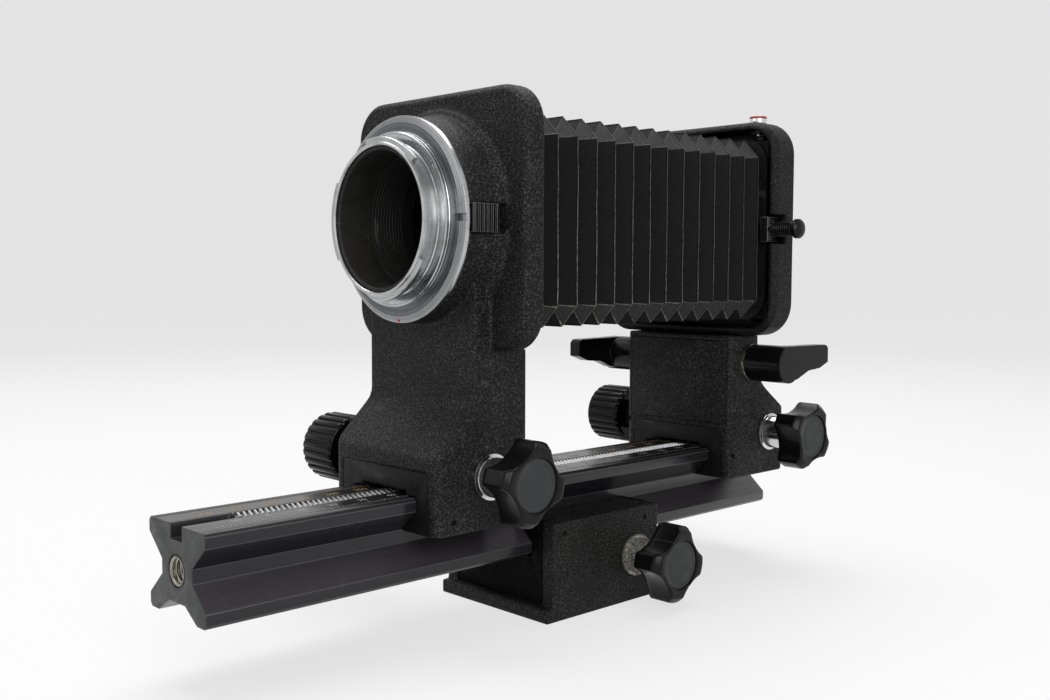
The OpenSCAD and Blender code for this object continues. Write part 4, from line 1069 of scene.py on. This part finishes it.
def make_scale(node, side, ink, start, first, step, finishes):
    """Millimetre ticks along the strip's outer edge, and a number every ten."""
    low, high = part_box(node)
    outer = high.y if side > 0 else low.y
    edge = outer - side * TICK_FROM_EDGE * MM
    middle = (low.y + high.y) / 2 - side * NUMBER_OFF * MM
    half = TICK_W * MM / 2
    z = high.z
    bm = bmesh.new()
    count = int((high.x - start * MM) / MM) - 1
    for i in range(count):
        x = start * MM + i * MM
        reach = next(length for every, length in TICK_REACHES if i % every == 0)
        inner = outer - side * reach * MM
        add_box(bm, (x - half, min(inner, edge), z - INK * MM), (x + half, max(inner, edge), z + INK * MM))
        if i % TICKS_PER_NUMBER == 0 and NUMBER_FROM_END < i < count - NUMBER_FROM_END:
            add_number(bm, first + step * i, (x, middle, z + INK * MM / 2))
    scale = link_mesh(node + "_print", bm, [finishes[ink]], smooth=False)
    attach(scale, "rail_bar")


# Small pins pressed into the castings, in mm

PIN_END_R = 0.85
PIN_END_SUNK = 0.5
PIN_END_PROUD = 0.06
PIN_END_EDGE = 0.03
PIN_END_SIDES = 20
PIN_ENDS = {
    "camera_end": [("left", (-63.7, -24.8, 37.1))],
    "lens_end": [("left", (66.8, -24.8, 41.4)), ("rear", (64.7, 23.2, 50.8))],
    "block": [("left", (18.2, -25.0, 26.7)), ("left", (-19.5, -25.0, 27.3)), ("rear", (-24.2, -18.9, 13.8))],
}


def make_pin_ends(finishes):
    # Each pin end is a near-black disc, painted as the shade in the pin's hollow.
    points = [(-PIN_END_SUNK, 0), (-PIN_END_SUNK, PIN_END_R), (PIN_END_EDGE, PIN_END_R),
              (PIN_END_PROUD, PIN_END_R - RING_STEP), (PIN_END_PROUD, 0)]
    for body, ends in PIN_ENDS.items():
        for i, (direction, place) in enumerate(ends):
            pin = turned(f"{body}_pin_{i + 1}", direction, Vector(place) * MM, same((0, points)),
                         [finishes["dark_hole"]], round_angles(PIN_END_SIDES))
            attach(pin, body)


# Bellows

FOLDS = 14
SIDE_STEPS = 10
CORNER_SHARES = (0, 0.07, 0.5, 0.93)
CLOTH_INSET = 1.0 * MM
RIDGE_CHAMFER = 6.5 * MM
VALLEY_CHAMFER = 0.35 * MM
FOLD_DEPTH = 6.5 * MM
RIDGE_LIP = 0.19 * MM
LIP_SHARE = 0.93
SWAY = 0.16 * MM
LIP_SWAY = 0.8


def ring_points(half, chamfer):
    """Points round a square with cut corners, the same number at each size."""
    corners = []
    for quarter in range(4):
        a = quarter * math.pi / 2
        for y, z in ((half, chamfer - half), (half, half - chamfer)):
            corners.append((y * math.cos(a) - z * math.sin(a), y * math.sin(a) + z * math.cos(a)))
    points = []
    side_shares = [k / SIDE_STEPS for k in range(SIDE_STEPS)]
    for i, (y, z) in enumerate(corners):
        y2, z2 = corners[(i + 1) % len(corners)]
        shares = side_shares if i % 2 == 0 else CORNER_SHARES
        points += [(y + (y2 - y) * s, z + (z2 - z) * s) for s in shares]
    return points


def facet_material(k):
    """Index of the material of one facet round a fold: 0 a side, 1 an edge of a corner, 2 a corner, whose
    lighter cloth is painted as lit.
    """
    place = k % (SIDE_STEPS + len(CORNER_SHARES)) - SIDE_STEPS
    if place < 0:
        return 0
    return 1 if place in (0, len(CORNER_SHARES) - 1) else 2


def shaded_facet(k):
    """As facet_material, for the side of a fold that faces +X: its corners keep the plain cloth, painted as
    shaded, and only their edges take the dusty crest.
    """
    return facet_material(k) % 2


def crest_facet(k):
    return 1


def cloth_facet(k):
    return 0


def pleat(name, x0, x1, half, rng, materials):
    """One fold of cloth from valley to valley, with thickness, as a closed band."""
    middle = (x0 + x1) / 2
    valley = half - FOLD_DEPTH
    lip = middle - x0 - (middle - x0) * LIP_SHARE
    near_half = valley + FOLD_DEPTH * LIP_SHARE
    near_chamfer = VALLEY_CHAMFER + (RIDGE_CHAMFER - VALLEY_CHAMFER) * LIP_SHARE
    stations = [
        (x0, valley, VALLEY_CHAMFER, 0),
        (middle - lip, near_half, near_chamfer, LIP_SWAY),
        (middle - RIDGE_LIP, half, RIDGE_CHAMFER, 1),
        (middle + RIDGE_LIP, half, RIDGE_CHAMFER, 1),
        (middle + lip, near_half, near_chamfer, LIP_SWAY),
        (x1, valley, VALLEY_CHAMFER, 0),
    ]
    # The side of each fold that faces -X gets lit corner copies, and the side that faces +X gets plain
    # cloth, painted as shaded.
    facets = (facet_material, facet_material, crest_facet, shaded_facet, shaded_facet)
    count = len(ring_points(half, RIDGE_CHAMFER))
    sway = [rng.uniform(-SWAY, SWAY) for _ in range(count)]
    bm = bmesh.new()
    z0 = axis_z()

    def ring(x, size, chamfer, share):
        return [bm.verts.new((x + sway[k] * share, y, z0 + z))
                for k, (y, z) in enumerate(ring_points(size, chamfer))]

    outer = [ring(x, size, chamfer, share) for x, size, chamfer, share in stations]
    inner = [ring(x, size - CLOTH_INSET, chamfer, share) for x, size, chamfer, share in stations]

    def band(low, high, facet):
        for k in range(count):
            j = (k + 1) % count
            bm.faces.new((low[k], high[k], high[j], low[j])).material_index = facet(k)

    for i, facet in enumerate(facets):
        band(outer[i], outer[i + 1], facet)
        band(inner[i], inner[i + 1], cloth_facet)
    band(outer[0], inner[0], cloth_facet)
    band(outer[-1], inner[-1], cloth_facet)
    bmesh.ops.recalc_face_normals(bm, faces=bm.faces)
    return link_mesh(name, bm, materials, smooth=False)


def make_bellows(finishes):
    """Folds of equal length from the start of the rear bellows to the end of the front one, built in place;
    the CAD bellows are hidden.
    """
    rng = random.Random(SEED)
    low, rear_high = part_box("bellows_rear")
    middle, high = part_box("bellows_front")
    half = (rear_high.y - low.y) / 2
    x0, x_mid, x1 = low.x, middle.x, high.x
    step = (x1 - x0) / FOLDS
    materials = [finishes["cloth"], finishes["cloth_edge"], finishes["cloth_corner"]]
    for i in range(FOLDS):
        rear = i < FOLDS // 2
        a, b = x0 + i * step, x0 + (i + 1) * step
        fold = pleat(f"bellows_fold_{i + 1}", a, b, half, rng, materials)
        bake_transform(fold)
        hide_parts("bellows_rear" if rear else "bellows_front")


# Which material each face of a piece takes

PANEL_RIM = 2.8 * MM
PANEL_RIM_SEEN = 0.9 * PANEL_RIM
PANEL_FRONT_EDGE = 1.0 * MM
FRONT_NORMAL = 0.5
END_NORMAL = 0.9
UPPER_NORMAL = 0.1


def panel_recess():
    """A test that is 1 for the smooth inside of the lens panel and 0 for its crinkled outside."""
    low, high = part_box("lens_panel")
    z0 = axis_z()
    half_w = high.y - PANEL_RIM_SEEN
    half_h = high.z - z0 - PANEL_RIM_SEEN
    front = high.x - PANEL_FRONT_EDGE

    def test(place, normal):
        inside = abs(place.y) < half_w and abs(place.z - z0) < half_h
        return int(inside and normal.x < FRONT_NORMAL and place.x < front)

    return test


def under_panel_top():
    """A test that is 1 for what lies inside the lens panel."""
    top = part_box("lens_panel")[1].z
    return lambda place, normal: int(place.z < top - PANEL_RIM / 2)


def rail_faces():
    """A test that is 1 for the rail's ends, which take a lighter black painted as lit, 3 for the upper sides
    of its lower flanges, which take a lighter purple black painted as the floor's reflection, and 0
    elsewhere.
    """
    waist = centre("rail").z

    def test(place, normal):
        if abs(normal.x) > END_NORMAL:
            return 1
        return 3 if normal.z > UPPER_NORMAL and place.z < waist else 0

    return test


# Castings and machined pieces

CAST_VOXEL = 0.5 * MM
LEVER_VOXEL = 0.24 * MM
STANDARD_PASSES = 6
BOX_PASSES = 5
LEVER_PASSES = 4
RELEASE_EDGE = 0.1 * MM
SOCKET_EDGE = 0.12 * MM
COVER_EDGE = 0.15 * MM
MACHINED_EDGE = 0.2 * MM
BUSH_EDGE = 0.25 * MM


def make_castings(finishes):
    for end in ("camera", "lens"):
        soften(end + "_standard", end + "_end", [finishes["crinkle"]], CAST_VOXEL,
               STANDARD_PASSES)
    soften("block_casting", "block", [finishes["crinkle_block"]], CAST_VOXEL, BOX_PASSES)
    soften("lens_panel", "lens_end", [finishes["crinkle_panel"], finishes["recess"]],
           CAST_VOXEL, BOX_PASSES, panel_recess())
    for side in ("right", "left"):
        soften(side + "_clamp_lever", side + "_lever", [finishes["gloss"]], LEVER_VOXEL,
               LEVER_PASSES)


def make_machined(finishes):
    # The rail's ends and the tops of its lower flanges take lighter copies, painted as lit and as
    # reflection.
    rail = [finishes["rail"], finishes["rail_end"], finishes["rail_edge"], finishes["rail_low"]]
    # The rail's broken edges, like those of the release and the stop-down ring below, take a lighter black
    # painted as highlights.
    edged("rail", "rail_bar", rail, MACHINED_EDGE, rail_faces(), edge_material=2)
    edged("rotation_release", "mount_release", [finishes["fluted"], finishes["edge_line"]],
          RELEASE_EDGE, edge_material=1)
    edged("stop_down_ring", "stop_down", [finishes["ring_black"], finishes["edge_line"]],
          MACHINED_EDGE, edge_material=1)
    for end in ("camera", "lens"):
        edged(end + "_lock_bush", end + "_end", [finishes["steel"]], BUSH_EDGE)
    edged("block_lock_bush", "block", [finishes["worn_collar"]], BUSH_EDGE)
    edged("lever_collars", "lens_end", [finishes["pale_gold"]], MACHINED_EDGE)
    edged("cable_socket", "lens_end", [finishes["steel"], finishes["ring_black"]], SOCKET_EDGE,
          under_panel_top())
    edged("lens_bayonet", "lens_end", [finishes["chrome"]], MACHINED_EDGE)


def make_covers(finishes):
    for end, faces in (("camera", ("rear", "front")), ("lens", ("rear", "upper", "front"))):
        for face in faces:
            paint = finishes["crinkle"] if face == "upper" else finishes["cover"]
            edged(f"{end}_{face}_cover", end + "_end", [paint], COVER_EDGE)
    # The block's covers take the darker copy, painted as shade.
    for face in ("rear", "front"):
        edged(f"block_{face}_cover", "block", [finishes["cover_low"]], COVER_EDGE)


# Building

make_camera()
finishes = {**crinkle_paints(), **smooth_blacks(), **metals(), **cloths_and_inks()}
make_floor()
make_light()
for key, nodes in NODE_FINISH.items():
    for node in nodes:
        repaint(node, finishes[key])
make_bellows(finishes)
make_camera_mount(finishes)
make_sleeve(finishes)
for place, turn in LOCK_TURNS.items():
    make_lock_knob(place, turn, finishes)
for end in ("camera", "lens"):
    make_focus_knob(end + "_focus_knob", end + "_drive", finishes)
make_stop_down_pin(finishes)
make_end_inserts(finishes)
make_pin_ends(finishes)
for node, values in SCALES.items():
    make_scale(node, finishes=finishes, **values)
make_castings(finishes)
make_machined(finishes)
make_covers(finishes)
